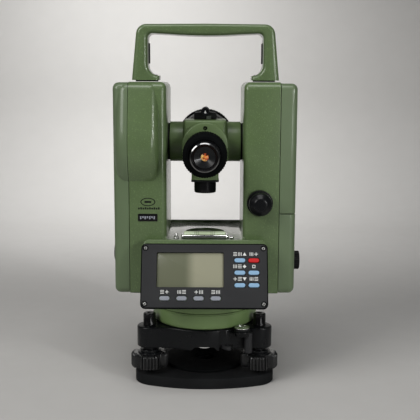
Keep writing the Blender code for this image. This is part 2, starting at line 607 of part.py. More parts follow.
def key_layout():
    """Name, place, size and finish of each key on the front panel."""
    keys = [(f"display_key_{k + 1}", (PILL_X + PILL_PITCH * k, PILL_Y), PILL_SIZE, "key_grey")
            for k in range(PILL_KEYS)]
    names = [["key_upper_left", "key_power"], ["key_middle_left", "key_middle_right"],
             ["key_lower_left", "key_lower_right"]]
    for row, y in enumerate(PAD_ROWS):
        for column, x in enumerate(PAD_COLUMNS):
            name = names[row][column]
            keys.append((name, (x, y), PAD_SIZE, "key_red" if name == "key_power" else "key_blue"))
    return keys


def housing_outline():
    """Section of a display housing: distance from the axis, and height."""
    back = PANEL_THICK + GAP
    anchor_y = PANEL_TOP[0] - back * PANEL_RISE
    anchor_z = PANEL_TOP[1] - back * PANEL_RUN
    slope = [(anchor_y + (anchor_z - z) * PANEL_RUN / PANEL_RISE, z) for z in (HOUSING_LIP, HOUSING_TOP)]
    near = STANDARD_Y + GAP
    underside = [(max(near, y), z) for z, y in HOUSING_FOOT]
    return underside + slope + [(HOUSING_LEDGE[0], HOUSING_TOP), (HOUSING_LEDGE[1], DECK_Z), (near, DECK_Z)]


def make_display(body, label, side, keys):
    plane = panel_plane(side)
    outline = [(side * y, z) for y, z in housing_outline()]
    housing = piece(f"{label}_housing", prism(outline, -HOUSING_HALF, HOUSING_HALF, "X"),
                    "green_paint", body)
    back = -PANEL_THICK - GAP
    pocket = placed(box(POCKET_X, POCKET_Y, (back - POCKET_DEPTH, back + 2)), plane)
    threads = [cylinder(SCREW_R, -PANEL_THICK - SCREW_DEPTH, -PANEL_THICK + 1, 8, (x, y, 0))
               for x, y in screw_points()]
    cut(housing, pocket, placed(together(threads), plane))
    panel = piece(f"{label}_panel", placed(prism(
        rounded_rect(PANEL_WIDTH, PANEL_SLANT, PANEL_CORNER_R), -PANEL_THICK, 0), plane),
        "charcoal_panel", body)
    counterbore = [(0, -PANEL_THICK - 1), (SCREW_R, -PANEL_THICK - 1), (SCREW_R, -SCREW_SEAT),
                   (SCREW_HEAD_R, -SCREW_SEAT), (SCREW_HEAD_R, 1), (0, 1)]
    holes = [turned(counterbore, 10, (x, y, 0)) for x, y in screw_points()]
    holes.append(prism(rounded_rect(*LCD_SIZE, 1.0, *LCD_CENTRE, 2), -PANEL_THICK - 1, 1))
    for _, (x, y), (width, height), _ in keys:
        holes.append(prism(rounded_rect(width + 2 * GAP, height + 2 * GAP, height / 2, x, y, 2),
                           -PANEL_THICK - 1, 1))
    cut(panel, placed(together(holes), plane))
    for name, (x, y), (width, height), finish in keys:
        key = prism(rounded_rect(width, height, height / 2 - GAP, x, y, 2), back - KEY_ROOT, KEY_PROUD)
        cap = piece(name, placed(key, plane), finish, body, tuple(plane @ Vector((x, y, 0))))
        soften(cap, KEY_EDGE, 1)


def make_front_lcd(body):
    width, height = (size - 2 * GAP for size in LCD_SIZE)
    glass = prism(rounded_rect(width, height, 0.8, *LCD_CENTRE, 2), *LCD_DEPTH)
    piece("front_lcd", placed(glass, panel_plane(-1)), "lcd_glass", body)


# ---------------------------------------------------------------- drives and plummet

def make_drives(body):
    x, z = VERTICAL_DRIVE
    origin, front = (x, -STANDARD_Y - GAP, z), (0, -1, 0)
    bore, r, depth = VERTICAL_RING
    piece("vertical_clamp_ring", ring(bore, r, 0, depth, ROUND, origin, front), "black_plastic", body, origin)
    piece("vertical_tangent_knob", turned(VERTICAL_KNOB, ROUND, origin, front), "black_plastic", body, origin)
    x, z = HORIZONTAL_DRIVE
    origin, rear = (x, DRIVE_FACE_Y, z), (0, 1, 0)
    bore, r, depth = HORIZONTAL_RING
    piece("horizontal_clamp_ring", ring(bore, r, 0, depth, ROUND, origin, rear), "black_plastic", body, origin)
    piece("horizontal_tangent_knob", turned(HORIZONTAL_KNOB, SMALL, origin, rear), "black_plastic", body,
          origin)
    origin = (0, 0, PLUMMET_Z)
    piece("plummet_eyepiece", turned(PLUMMET_EYEPIECE, SMALL, origin, rear), "black_plastic", body, origin)


# ---------------------------------------------------------------- telescope

def make_block(body, centre):
    block = piece("telescope_block", box((-BLOCK_HALF, BLOCK_HALF), BLOCK_Y, BLOCK_Z),
                  "green_paint", body, centre)
    soften(block, 2.0)
    low = BLOCK_Z[0] + 2
    arch = arc(0, TRUNNION_Z - ARCH_DROP, ARCH_R, 0, 180, 16) + [(-ARCH_R, low), (ARCH_R, low)]
    add(block, prism(arch, BLOCK_Y[0] - ARCH_PROUD, BLOCK_Y[0] + 3, "Y"),
        box((-NECK_HALF, NECK_HALF), (MODULE_Y - NECK_HALF, MODULE_Y + NECK_HALF), (NECK_BOTTOM, low)))
    sockets = [cylinder(SHAFT_R + RUN, BLOCK_HALF - SHAFT_ROOT - 0.5, BLOCK_HALF + 5, ROUND, centre, (s, 0, 0))
               for s in (-1, 1)]
    cut(block, cylinder(BORE_R, -40, 40, SMALL, (0, 0, EYE_Z + BORE_RISE), (0, 1, 0)), together(sockets))


def make_shafts(body, centre):
    root, face = BLOCK_HALF - SHAFT_ROOT, BLOCK_HALF + GAP
    for name, side in (("left", -1), ("right", 1)):
        end = SHAFT_ENDS[name]
        profile = [(0, root), (SHAFT_R, root), (SHAFT_R, face), (TUBE_R, face), (TUBE_R, TUBE_END),
                   (SHAFT_R, TUBE_END), (SHAFT_R, end), (0, end)]
        piece(f"{name}_trunnion_shaft", turned(profile, ROUND, centre, (side, 0, 0)), "green_paint", body,
              centre)
    piece("vertical_circle", ring(SHAFT_R + GAP, ENCODER_R, *ENCODER_X, FINE, centre, (-1, 0, 0)),
          "glass", body, centre)


def make_objective(body, centre):
    rear = BLOCK_Y[1] + GAP
    tube = [(CONE_INNER[-1][0], rear), (CONE_OUTER[0][0], rear), *CONE_OUTER, *CONE_INNER]
    piece("objective_tube", turned(tube, ROUND, centre, (0, 1, 0)), "green_paint", body, centre)
    near, far = HOOD_Y
    hood = [(HOOD_BORE_R, near), (HOOD_R, near), (HOOD_R, far - HOOD_LIP), (HOOD_R - HOOD_LIP, far),
            (HOOD_BORE_R + HOOD_LIP, far), (HOOD_BORE_R, far - 4 * HOOD_LIP)]
    piece("objective_hood", turned(hood, ROUND, centre, (0, 1, 0)), "black_paint", body, centre)
    piece("objective_lens", turned(LENS, ROUND, centre, (0, 1, 0)), "glass", body, centre)


def make_module_and_sight(body, centre):
    half, flange = FLANGE_HALF, NECK_BOTTOM - GAP
    cap = piece("module_cap", box((-half, half), (MODULE_Y - half, MODULE_Y + half),
                                  (flange - FLANGE_THICK, flange)), "black_plastic", body, centre)
    add(cap, cylinder(MODULE_R, MODULE_BOTTOM, flange - 1, ROUND, (0, MODULE_Y, 0)))
    axis = (0, 0, SIGHT_Z)
    sight = piece("sight", box((-SIGHT_BASE_X, SIGHT_BASE_X), SIGHT_BASE_Y, (BLOCK_Z[1] + GAP, SIGHT_Z - 2)),
                  "black_plastic", body, centre)
    add(sight, cylinder(SIGHT_R, *SIGHT_Y, SMALL, axis, (0, 1, 0)))
    cut(sight, cylinder(SIGHT_R - SIGHT_WALL, -30, 30, SMALL, axis, (0, 1, 0)))


def make_eyepiece(body, centre):
    eye, front = (0, 0, EYE_Z), (0, -1, 0)
    root, step, end = (-y for y in EYE_TUBE_Y)
    barrel = [(EYE_BORE_R, root), (EYE_FLANGE_R, root), (EYE_FLANGE_R, step), (EYE_BARREL_R, step),
              (EYE_BARREL_R, end), (EYE_BORE_R, end)]
    piece("eyepiece_tube", turned(barrel, ROUND, eye, front), "black_paint", body, centre)
    near, far = -FOCUS_Y[0], -FOCUS_Y[1]
    bore = EYE_FLANGE_R + RUN
    profile = [(bore, far), (FOCUS_R - 1, far), (FOCUS_R, far + 1), (FOCUS_R, near - 2), (FOCUS_R - 2, near),
               (bore, near)]
    piece("focusing_ring", turned(profile, ROUND, eye, front), "black_plastic", body, (0, FOCUS_Y[0], EYE_Z))
    near, far = -EYE_RING_Y[0], -EYE_RING_Y[1]
    bore = EYE_BARREL_R + RUN
    profile = [(bore, far), (EYE_RING_NECK_R, far), (EYE_RING_NECK_R, near - 3), (EYE_RING_R, near - 2),
               (EYE_RING_R, near), (bore, near), (EYE_RING_BORE_R, near - 2.5),
               (EYE_RING_BORE_R, EYE_RING_STOP), (bore, EYE_RING_STOP)]
    piece("eyepiece_ring", turned(profile, ROUND, eye, front), "black_plastic", body,
          (0, EYE_RING_Y[0], EYE_Z))
    piece("eyepiece_lens", turned(EYE_LENS, ROUND, eye, front), "coated_lens", body, (0, EYE_RING_Y[0], EYE_Z))


def make_bearings(body):
    for name, side in (("left", -1), ("right", 1)):
        race = ring(SHAFT_R + RUN, BEARING_R, INNER_X + GAP, INNER_X + WALL - GAP, ROUND,
                    (0, 0, TRUNNION_Z), (side, 0, 0))
        piece(f"{name}_trunnion_bearing", race, "steel", body)


def main():
    for obj in list(bpy.data.objects):
        bpy.data.objects.remove(obj, do_unlink=True)
    make_base_plate()
    make_foot_screws()
    make_tribrach()
    make_lock_lever()
    make_drum()
    centre = (0, 0, TRUNNION_Z)
    alidade = axis_empty("vertical_axis", (0, 0, 0))
    telescope = axis_empty("trunnion_axis", centre, alidade)
    make_frame(alidade)
    make_covers(alidade)
    make_battery(alidade)
    make_plate_level(alidade)
    make_handle(alidade)
    make_display(alidade, "front", -1, key_layout())
    make_display(alidade, "rear", 1, [])
    make_front_lcd(alidade)
    make_drives(alidade)
    make_bearings(alidade)
    make_block(telescope, centre)
    make_shafts(telescope, centre)
    make_objective(telescope, centre)
    make_module_and_sight(telescope, centre)
    make_eyepiece(telescope, centre)


main()
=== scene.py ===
"""Looks of the electronic theodolite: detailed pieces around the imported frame, and a studio.

Lengths are millimetres in the frame's own axes; -Y faces the operator. `span` reads a CAD
node's box. Most pieces take their places from those boxes and from the joints; the sizes of
small details, and the places of a few, are plain numbers.
"""
import json
import math

import bmesh
import bpy
from mathutils import Matrix, Vector


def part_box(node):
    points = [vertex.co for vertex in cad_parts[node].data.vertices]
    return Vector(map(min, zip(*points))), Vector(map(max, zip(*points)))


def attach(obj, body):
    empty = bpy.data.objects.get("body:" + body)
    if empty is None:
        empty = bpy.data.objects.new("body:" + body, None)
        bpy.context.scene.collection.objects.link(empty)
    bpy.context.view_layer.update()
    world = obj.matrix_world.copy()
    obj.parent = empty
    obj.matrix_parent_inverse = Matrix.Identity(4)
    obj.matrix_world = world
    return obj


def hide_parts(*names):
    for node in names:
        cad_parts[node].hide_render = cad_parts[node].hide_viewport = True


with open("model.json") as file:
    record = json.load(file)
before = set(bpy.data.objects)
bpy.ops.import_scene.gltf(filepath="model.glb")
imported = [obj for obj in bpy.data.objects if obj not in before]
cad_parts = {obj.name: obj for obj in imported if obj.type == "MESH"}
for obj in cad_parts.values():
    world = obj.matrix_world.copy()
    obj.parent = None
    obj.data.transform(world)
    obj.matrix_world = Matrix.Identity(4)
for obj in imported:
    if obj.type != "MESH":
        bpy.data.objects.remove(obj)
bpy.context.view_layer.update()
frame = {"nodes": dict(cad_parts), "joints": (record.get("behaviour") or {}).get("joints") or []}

MM = 0.001
GAP = 0.3    # clearance between neighbouring CAD parts
SEAM = 0.2   # how far a cover and its standard each stay back from the face they share
LIFT = 0.02  # keeps a foot off the face that it stands on
X, Y, Z = (1, 0, 0), (0, 1, 0), (0, 0, 1)
FRONT = (0, -1, 0)
SIDES = (("left", -1), ("right", 1))


# ---- reading the frame

def span(node):
    """Lowest and highest corner of a CAD node, in millimetres."""
    low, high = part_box(node)
    return low / MM, high / MM


def middle(node):
    low, high = span(node)
    return (low + high) / 2


def joint(name):
    return next(j for j in frame["joints"] if j["name"] == name)


def pivot(name):
    return Vector(joint(name)["pos_m"]) / MM


TRUNNION = pivot("telescope_transit")
EYE = pivot("focusing_turn")
DECK_Z = span("plate_level_housing")[0].z - GAP
STANDARD_Y = span("right_cover")[1].y
INNER_X = span("right_trunnion_bearing")[0].x - GAP
STANDARD_TOP = span("handle")[0].z - GAP
CIRCLE_FOOT = 162.1
CIRCLE_R = TRUNNION.z - CIRCLE_FOOT
STANDARD_LOW = span("left_cover")[0].z


# ---- studio

LENS, NEAREST = 480 / 7, 0.01
CAMERA_AT = (0.0045, -0.723, 0.2674)
CAMERA_DOWN, CAMERA_ROLL = 9.09, 0.25
SKY, SKY_STRENGTH = (0.93, 0.96, 1.0, 1), 0.16
WALL_COLOUR, WALL_ROUGHNESS = (0.48, 0.471, 0.457), 0.8
# name: place, aim and size in metres, watts, spread in degrees, colour
LIGHTS = {
    "window": ((-0.87, -0.82, 0.90), (0, 0, 0.17), (0.7, 0.7), 3.8, 104, (1.0, 0.99, 0.97)),
    "ceiling": ((0.0, -0.5, 1.5), (0, 0, 0.1), (0.9, 0.6), 8.2, 180, (1, 1, 1)),
    "fill": ((0.52, -1.05, 0.24), (0, 0, 0.08), (0.2, 0.3), 0.30, 70, (1, 1, 1)),
    "spark": ((0.80, -0.86, 0.50), (0, 0, 0.2), (0.06, 0.34), 0.50, 60, (1, 1, 1)),
    "wall_wash": ((-0.20, 0.48, 0.80), (-0.08, 0.97, 0.10), (0.3, 0.3), 2.3, 96, (1, 1, 1)),
}


def quarter(steps):
    """Angles over a quarter turn, both ends included."""
    return [math.pi / 2 * k / steps for k in range(steps + 1)]


def around(sides):
    """Angles all round, one for each side."""
    return [2 * math.pi * k / sides for k in range(sides)]


def put(name, data):
    """A new object in the scene."""
    obj = bpy.data.objects.new(name, data)
    bpy.context.scene.collection.objects.link(obj)
    return obj


def make_camera():
    data = bpy.data.cameras.new("camera")
    data.lens = LENS
    data.clip_start = NEAREST
    camera = put("camera", data)
    tilt = Matrix.Rotation(math.radians(90 - CAMERA_DOWN), 4, "X")
    roll = Matrix.Rotation(math.radians(CAMERA_ROLL), 4, "Z")
    camera.matrix_world = Matrix.Translation(CAMERA_AT) @ tilt @ roll
    bpy.context.scene.camera = camera


def area_light(name, place, target, size, power, spread, colour):
    data = bpy.data.lights.new(name, "AREA")
    data.shape = "RECTANGLE"
    data.size, data.size_y = size
    data.energy = power
    data.color = colour
    data.spread = math.radians(spread)
    aim = (Vector(target) - Vector(place)).to_track_quat("-Z", "Y")
    put(name, data).matrix_world = Matrix.Translation(place) @ aim.to_matrix().to_4x4()


def make_backdrop():
    """A round sweep: a flat floor that bends up into a wall, closed all round."""
    wall_y, reach, bend, height, steps, sides = 1.0, 3.2, 0.25, 4.0, 10, 96
    section = [(reach - 2 * bend, 0.0)]
    section += [(reach - bend + bend * math.sin(a), bend - bend * math.cos(a)) for a in quarter(steps)]
    section.append((reach, height))
    bm = bmesh.new()
    rings = [[bm.verts.new((r * math.cos(a), wall_y - reach + r * math.sin(a), z))
              for a in around(sides)] for r, z in section]
    bm.faces.new(rings[0])
    for below, above in zip(rings, rings[1:]):
        for k in range(sides):
            bm.faces.new((below[k], below[k - 1], above[k - 1], above[k]))
    mesh = bpy.data.meshes.new("backdrop")
    bm.to_mesh(mesh)
    bm.free()
    mesh.shade_smooth()
    mesh.materials.append(finish("backdrop", WALL_COLOUR, WALL_ROUGHNESS, mottle=0.015, specular=0.1))
    backdrop = put("backdrop", mesh)


def make_studio():
    make_backdrop()
    world = bpy.data.worlds.new("studio")
    world.use_nodes = True
    background = world.node_tree.nodes["Background"]
    background.inputs["Color"].default_value = SKY
    background.inputs["Strength"].default_value = SKY_STRENGTH
    bpy.context.scene.world = world
    bpy.context.scene.view_settings.view_transform = "Standard"
    for name, light in LIGHTS.items():
        area_light(name, *light)


# ---- materials

# Noise cells per metre: broad clouds, fine speckle, lighter flecks painted as the sparkle highlights of
# grainy paint, and smears in the gloss.
CLOUDS, SPECKLE, PAINTED_SPARKLES, SMEARS = 35, 1400, 900, 90
SPECKLE_SHARE = 0.45
SPARKLE_FROM, SPARKLE_FULL, SPARKLE_GAIN = 0.58, 0.66, 1.7
EDGE_FROM, EDGE_FULL, WORN_GAIN, WORN_LIFT = 0.52, 0.6, 1.5, 0.03
COAT_ROUGHNESS, LEAST_ROUGHNESS = 0.08, 0.02
# Cells per metre of the painted glint on the eye lens.
AMBER_GLINT_PATCHES = 620


def feed(node, **inputs):
    """Set a node's inputs, each to a value or to another node's output."""
    for name, value in inputs.items():
        socket = node.inputs[name.replace("_", " ")]
        if isinstance(value, bpy.types.NodeSocket):
            node.id_data.links.new(value, socket)
        else:
            socket.default_value = value


def add(tree, kind, **inputs):
    """A new shader node with its inputs fed."""
    node = tree.nodes.new("ShaderNode" + kind)
    feed(node, **inputs)
    return node


def colour_mix(tree, factor, a, b):
    """A mix of two colours. The node has several inputs called A and B: these are the colours'."""
    node = add(tree, "Mix")
    node.data_type = "RGBA"
    feed(node, Factor=factor)
    for socket, value in ((node.inputs[6], a), (node.inputs[7], b)):
        if isinstance(value, bpy.types.NodeSocket):
            tree.links.new(value, socket)
        else:
            socket.default_value = value
    return node.outputs[2]


def finish(name, colour, roughness, metallic=0.0, grain=0.0, depth=0.0, mottle=0.06, coat=0.0,
           wear=0.0, transmission=0.0, stretch=(1, 1, 1), gloss_spread=0.06, specular=0.5,
           coat_grain=0.0, painted_sparkle=0.0):
    """A procedural finish. grain is the bump's cell size and depth its height, both in mm. Of a
    look with a coat, coat_grain is how much of the bump shows in the coat."""
    mat = bpy.data.materials.new(name)
    mat.use_nodes = True
    tree = mat.node_tree
    shader = tree.nodes["Principled BSDF"]
    place = add(tree, "TexCoord").outputs["Object"]
    texture = add(tree, "Mapping", Scale=stretch, Vector=place).outputs["Vector"]

    def noise(scale, detail=3.0):
        return add(tree, "TexNoise", Scale=scale, Detail=detail, Vector=texture).outputs["Fac"]

    def ranged(value, low, high, start=0.3, end=0.7):
        return add(tree, "MapRange", Value=value, From_Min=start, From_Max=end, To_Min=low,
                   To_Max=high).outputs["Result"]

    base = (*colour, 1)
    deep = (*(c * (1 - mottle) for c in colour), 1)
    pale = (*(min(1, c * (1 + mottle)) for c in colour), 1)
    tint = colour_mix(tree, ranged(noise(CLOUDS), 0, 1), deep, pale)
    tint = colour_mix(tree, ranged(noise(SPECKLE), 0, SPECKLE_SHARE), tint, base)
    # Lighter flecks: painted sparkle highlights of the grainy paint catching the light.
    if painted_sparkle:
        spot = (*(min(1, c * SPARKLE_GAIN) for c in colour), 1)
        share = ranged(noise(PAINTED_SPARKLES), 0, painted_sparkle, SPARKLE_FROM, SPARKLE_FULL)
        tint = colour_mix(tree, share, tint, spot)
    if wear:
        edge = add(tree, "NewGeometry").outputs["Pointiness"]
        worn = (*(min(1, c * WORN_GAIN + WORN_LIFT) for c in colour), 1)
        tint = colour_mix(tree, ranged(edge, 0, wear, EDGE_FROM, EDGE_FULL), tint, worn)
    least = max(LEAST_ROUGHNESS, roughness - gloss_spread)
    rough = ranged(noise(SMEARS), least, roughness + gloss_spread)
    feed(shader, Base_Color=tint, Roughness=rough, Metallic=metallic, Specular_IOR_Level=specular,
         Coat_Weight=coat, Coat_Roughness=COAT_ROUGHNESS, Transmission_Weight=transmission)
    if grain:
        bump = add(tree, "Bump", Strength=1.0, Distance=depth * MM)
        height = noise(1 / (grain * MM), 2.0)
        feed(bump, Height=height)
        feed(shader, Normal=bump.outputs["Normal"])
        if coat_grain:
            lacquer = add(tree, "Bump", Strength=coat_grain, Distance=depth * MM, Height=height)
            feed(shader, Coat_Normal=lacquer.outputs["Normal"])
    return mat


# look: slot of the shared library, colour, roughness, the rest of its finish
LOOKS = {
    "green": ("green_paint", (0.08, 0.122, 0.049), 0.4, dict(grain=1.1, depth=0.09, mottle=0.1,
        coat=0.5, wear=0.2, specular=0.3, coat_grain=0.5, painted_sparkle=0.6)),
    "green_gloss": ("green_paint", (0.08, 0.122, 0.049), 0.3, dict(grain=1.4, depth=0.02, mottle=0.05,
        coat=1.0, wear=0.2, specular=0.5)),
    "green_smooth": ("green_paint", (0.085, 0.128, 0.05), 0.46, dict(grain=1.4, depth=0.02,
        mottle=0.05, coat=0.15, wear=0.2, specular=0.3)),
    # The drum's and skirt's green, lighter and more yellow than the paint: painted light standing in for
    # the light the drum catches from below and in front.
    "green_drum_painted_light": ("green_paint", (0.14, 0.212, 0.082), 0.42, dict(grain=1.4, depth=0.02, mottle=0.05,
        coat=0.15, wear=0.2, specular=0.3)),
    "green_cover": ("green_paint", (0.098, 0.138, 0.072), 0.42, dict(grain=1.6, depth=0.015,
        mottle=0.04, coat=0.25, wear=0.15, specular=0.35)),
    "enamel_black": ("black_paint", (0.004, 0.0045, 0.0052), 0.3, dict(grain=1.6, depth=0.02,
        mottle=0.2, coat=0.08, wear=0.1, specular=0.15)),
    "matt_black": ("black_paint", (0.003, 0.0034, 0.0036), 0.8, dict(grain=1.2, depth=0.02, mottle=0.2,
        specular=0.03)),
    "plate_black": ("black_paint", (0.0105, 0.011, 0.0115), 0.7, dict(grain=1.2, depth=0.02,
        mottle=0.2, specular=0.05)),
    "plastic_black": ("black_plastic", (0.0042, 0.0045, 0.0048), 0.42, dict(grain=0.5, depth=0.02,
        mottle=0.2, wear=0.1, specular=0.12)),
    "gloss_black": ("black_plastic", (0.0045, 0.0045, 0.005), 0.2, dict(grain=2.0, depth=0.01,
        mottle=0.1, coat=0.12, specular=0.15)),
    "knob_black": ("black_plastic", (0.0055, 0.0058, 0.0062), 0.3, dict(grain=2.0, depth=0.01,
        mottle=0.1, coat=0.25, wear=0.4, specular=0.3)),
    "rubber_black": ("black_plastic", (0.006, 0.006, 0.0065), 0.65, dict(grain=0.35, depth=0.03,
        mottle=0.2, specular=0.1)),
    "charcoal": ("charcoal_panel", (0.021, 0.0215, 0.023), 0.5, dict(grain=0.35, depth=0.012,
        mottle=0.06, wear=0.1, specular=0.2)),
    "chrome": ("bright_steel", (0.75, 0.75, 0.74), 0.16, dict(metallic=1.0, mottle=0.05, grain=0.8,
        depth=0.004)),
    "dark_chrome": ("bright_steel", (0.2, 0.2, 0.2), 0.14, dict(metallic=1.0, mottle=0.05, grain=0.8,
        depth=0.002)),
    "steel": ("bright_steel", (0.45, 0.45, 0.44), 0.32, dict(metallic=1.0, mottle=0.1, grain=0.3,
        depth=0.008, stretch=(1, 6, 1))),
    "key_grey": ("key_grey", (0.22, 0.235, 0.27), 0.5, dict(grain=0.3, depth=0.01, mottle=0.05)),
    "key_blue": ("key_blue", (0.21, 0.36, 0.52), 0.5, dict(grain=0.3, depth=0.01, mottle=0.05)),
    "key_red": ("key_red", (0.46, 0.014, 0.015), 0.5, dict(grain=0.3, depth=0.01, mottle=0.06,
        specular=0.25)),
    "alloy": ("bright_steel", (0.085, 0.095, 0.08), 0.5, dict(grain=0.4, depth=0.01, mottle=0.06,
        specular=0.3)),
    "ink_white": ("key_grey", (0.62, 0.63, 0.61), 0.6, dict(grain=0.3, depth=0.005, mottle=0.05,
        specular=0.2)),
    "level_liquid": ("vial_glass", (0.42, 0.5, 0.33), 0.14, dict(mottle=0.08, coat=0.4, grain=3.0,
        depth=0.005)),
    "glass_clear": ("circle_glass", (0.92, 0.96, 0.93), 0.03, dict(transmission=0.92, mottle=0.01,
        gloss_spread=0.01)),
    "lens_dark": ("circle_glass", (0.004, 0.005, 0.008), 0.04, dict(coat=0.5, mottle=0.2,
        gloss_spread=0.01)),
    "lens_coated": ("circle_glass", (0.03, 0.022, 0.052), 0.05, dict(metallic=1.0, mottle=0.25,
        gloss_spread=0.01)),
    "screw_grey": ("bright_steel", (0.34, 0.34, 0.33), 0.38, dict(metallic=0.35, grain=0.3, depth=0.01,
        mottle=0.1)),
    "board_green": ("circuit_board", (0.02, 0.15, 0.06), 0.4, dict(grain=0.8, depth=0.02, mottle=0.2)),
    "lcd": ("lcd_glass", (0.26, 0.27, 0.2), 0.2, dict(mottle=0.03, coat=0.15, gloss_spread=0.02)),
    "lens_amber_glint": ("coated_lens", (0.3, 0.1, 0.03), 0.08, dict(coat=0.6, mottle=0.3,
        gloss_spread=0.02)),
}
_made = {}


def add_screen_reflection(tree):
    """Grey-green liquid crystal with a painted reflection: darker at the left, lighter at the right where
    a lit softbox's reflection is painted, with a soft step in the middle.
    """
    low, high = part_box("front_lcd")
    step_from, step_to = (low.x + part * (high.x - low.x) for part in (0.40, 0.60))
    ramp = add(tree, "MapRange", From_Min=step_from, From_Max=step_to)
    ramp.interpolation_type = "SMOOTHSTEP"
    split = add(tree, "SeparateXYZ", Vector=tree.nodes["Texture Coordinate"].outputs["Object"])
    feed(ramp, Value=split.outputs["X"])
    tint = colour_mix(tree, ramp.outputs["Result"], (0.125, 0.133, 0.088, 1), (0.28, 0.277, 0.20, 1))
    feed(tree.nodes["Principled BSDF"], Base_Color=tint)


def add_amber_glint(tree):
    """The coated eye lens: yellow, orange and red patches in a dark glass, painted as the coloured glint
    of its coating.
    """
    cells = add(tree, "TexVoronoi", Scale=AMBER_GLINT_PATCHES,
                Vector=tree.nodes["Texture Coordinate"].outputs["Object"])
    ramp = add(tree, "ValToRGB")
    stops = ramp.color_ramp.elements
    stops[0].position, stops[0].color = 0.15, (0.05, 0.015, 0.008, 1)
    stops[1].position, stops[1].color = 0.85, (0.85, 0.62, 0.20, 1)
    for place, colour in ((0.4, (0.42, 0.06, 0.02, 1)), (0.62, (0.75, 0.25, 0.05, 1))):
        stops.new(place).color = colour
    feed(ramp, Fac=add(tree, "SeparateXYZ", Vector=cells.outputs["Color"]).outputs["X"])
    feed(tree.nodes["Principled BSDF"], Base_Color=ramp.outputs["Color"])


# Painted light laid over a finish: the screen's painted reflection and the eye lens's painted glint.
PATTERNS = {"lcd": add_screen_reflection, "lens_amber_glint": add_amber_glint}


def material(key):
    """A look's material, made once. Two looks have painted light on top of their finish: a painted
    reflection on the screen and a painted glint on the eye lens.
    """
    if key not in _made:
        _, colour, roughness, rest = LOOKS[key]
        _made[key] = finish(key, colour, roughness, **rest)
        if key in PATTERNS:
            PATTERNS[key](_made[key].node_tree)
    return _made[key]


# ---- outlines

def arc(cx, cy, r, start, end, steps):
    angles = [math.radians(start + (end - start) * k / steps) for k in range(steps + 1)]
    return [(cx + r * math.cos(a), cy + r * math.sin(a)) for a in angles]


def rect(x0, y0, x1, y1):
    return [(x0, y0), (x1, y0), (x1, y1), (x0, y1)]


def dome(r, foot, rise, steps):
    """Points over a rounded end, without its rim and its middle."""
    return [(r * math.cos(a), foot + rise * math.sin(a)) for a in quarter(steps)[1:-1]]


def filleted(points, steps=5, closed=True):
    """A polyline of (x, y) or (x, y, radius): a point with a radius becomes an arc."""
    out = []
    for i, point in enumerate(points):
        ends = not closed and i in (0, len(points) - 1)
        if len(point) < 3 or ends:
            out.append(tuple(point[:2]))
            continue
        a, b, c = (Vector(points[(i + k) % len(points)][:2]) for k in (-1, 0, 1))
        u, v = (a - b).normalized(), (c - b).normalized()
        half = u.angle(v) / 2
        centre = b + (u + v).normalized() * (point[2] / math.sin(half))
        start = b + u * (point[2] / math.tan(half)) - centre
        end = b + v * (point[2] / math.tan(half)) - centre
        first = math.atan2(start.y, start.x)
        turn = (math.atan2(end.y, end.x) - first + math.pi) % (2 * math.pi) - math.pi
        out += [(centre.x + point[2] * math.cos(first + turn * k / steps),
                 centre.y + point[2] * math.sin(first + turn * k / steps)) for k in range(steps + 1)]
    return out


def rounded_rect(low, high, radii, steps=6):
    """A rectangle with its own radius at each corner, from (low, low) anticlockwise."""
    (x0, y0), (x1, y1) = low, high
    corners = [(x0, y0, 1, 1, 180), (x1, y0, -1, 1, 270), (x1, y1, -1, -1, 0), (x0, y1, 1, -1, 90)]
    return [p for (x, y, sx, sy, a), r in zip(corners, radii)
            for p in arc(x + sx * r, y + sy * r, r, a, a + 90, steps)]


def rounded_triangle(side, reach, r, steps=14):
    """Three flat arcs joined by three corner arcs, all tangent."""
    t = side - reach / 2
    big = (0.75 * reach ** 2 + t ** 2 - r ** 2) / (2 * (t - r))
    half = math.degrees(math.asin(reach * math.sqrt(0.75) / (big - r)))
    points = []
    for turn in (0, 120, 240):
        a, b = math.radians(90 + turn), math.radians(150 + turn)
        points += arc(reach * math.cos(a), reach * math.sin(a), r, 30 + turn + half, 150 + turn - half,
                      steps)
        points += arc((side - big) * math.cos(b), (side - big) * math.sin(b), big,
                      150 + turn - half, 150 + turn + half, steps)[1:-1]
    return points


def lobed_disc(r, distance, lobe_r, fillet_r, lobe_angles):
    """A disc with a round lobe at each angle, filleted into it."""
    a, b, c = lobe_r + fillet_r, distance, r + fillet_r
    beta = math.degrees(math.acos((b * b + c * c - a * a) / (2 * b * c)))
    gamma = math.degrees(math.acos((a * a + b * b - c * c) / (2 * a * b)))
    points = []
    for angle in lobe_angles:
        low, high, lobe = (math.radians(v) for v in (angle - beta, angle + beta, angle))
        points += arc(c * math.cos(low), c * math.sin(low), fillet_r, angle - beta + 180, angle + gamma,
                      8)[:-1]
        points += arc(b * math.cos(lobe), b * math.sin(lobe), lobe_r, angle - 180 + gamma, angle
                      + 180 - gamma, 20)
        points += arc(c * math.cos(high), c * math.sin(high), fillet_r, angle - gamma, angle + beta - 180,
                      8)[1:]
        points += arc(0, 0, r, angle + beta, angle + 120 - beta, 24)[1:-1]
    return points


# ---- meshes

def closed(bm):
    bmesh.ops.recalc_face_normals(bm, faces=bm.faces)
    return bm


def skin(rings, loop=False):
    """A closed surface over rings of points; loop joins the last ring to the first."""
    bm = bmesh.new()
    loops = []
    for points in rings:
        if all((Vector(p) - Vector(points[0])).length < 1e-6 for p in points):
            loops.append([bm.verts.new(points[0])] * len(points))
        else:
            loops.append([bm.verts.new(p) for p in points])
    for a, b in zip(loops, loops[1:] + (loops[:1] if loop else [])):
        for k in range(len(a)):
            j = (k + 1) % len(a)
            corners = list(dict.fromkeys((a[k], a[j], b[j], b[k])))
            if len(corners) > 2:
                bm.faces.new(corners)
    if not loop:
        for ring in (loops[0], loops[-1]):
            if ring[0] is not ring[1]:
                bm.faces.new(ring)
    return closed(bm)


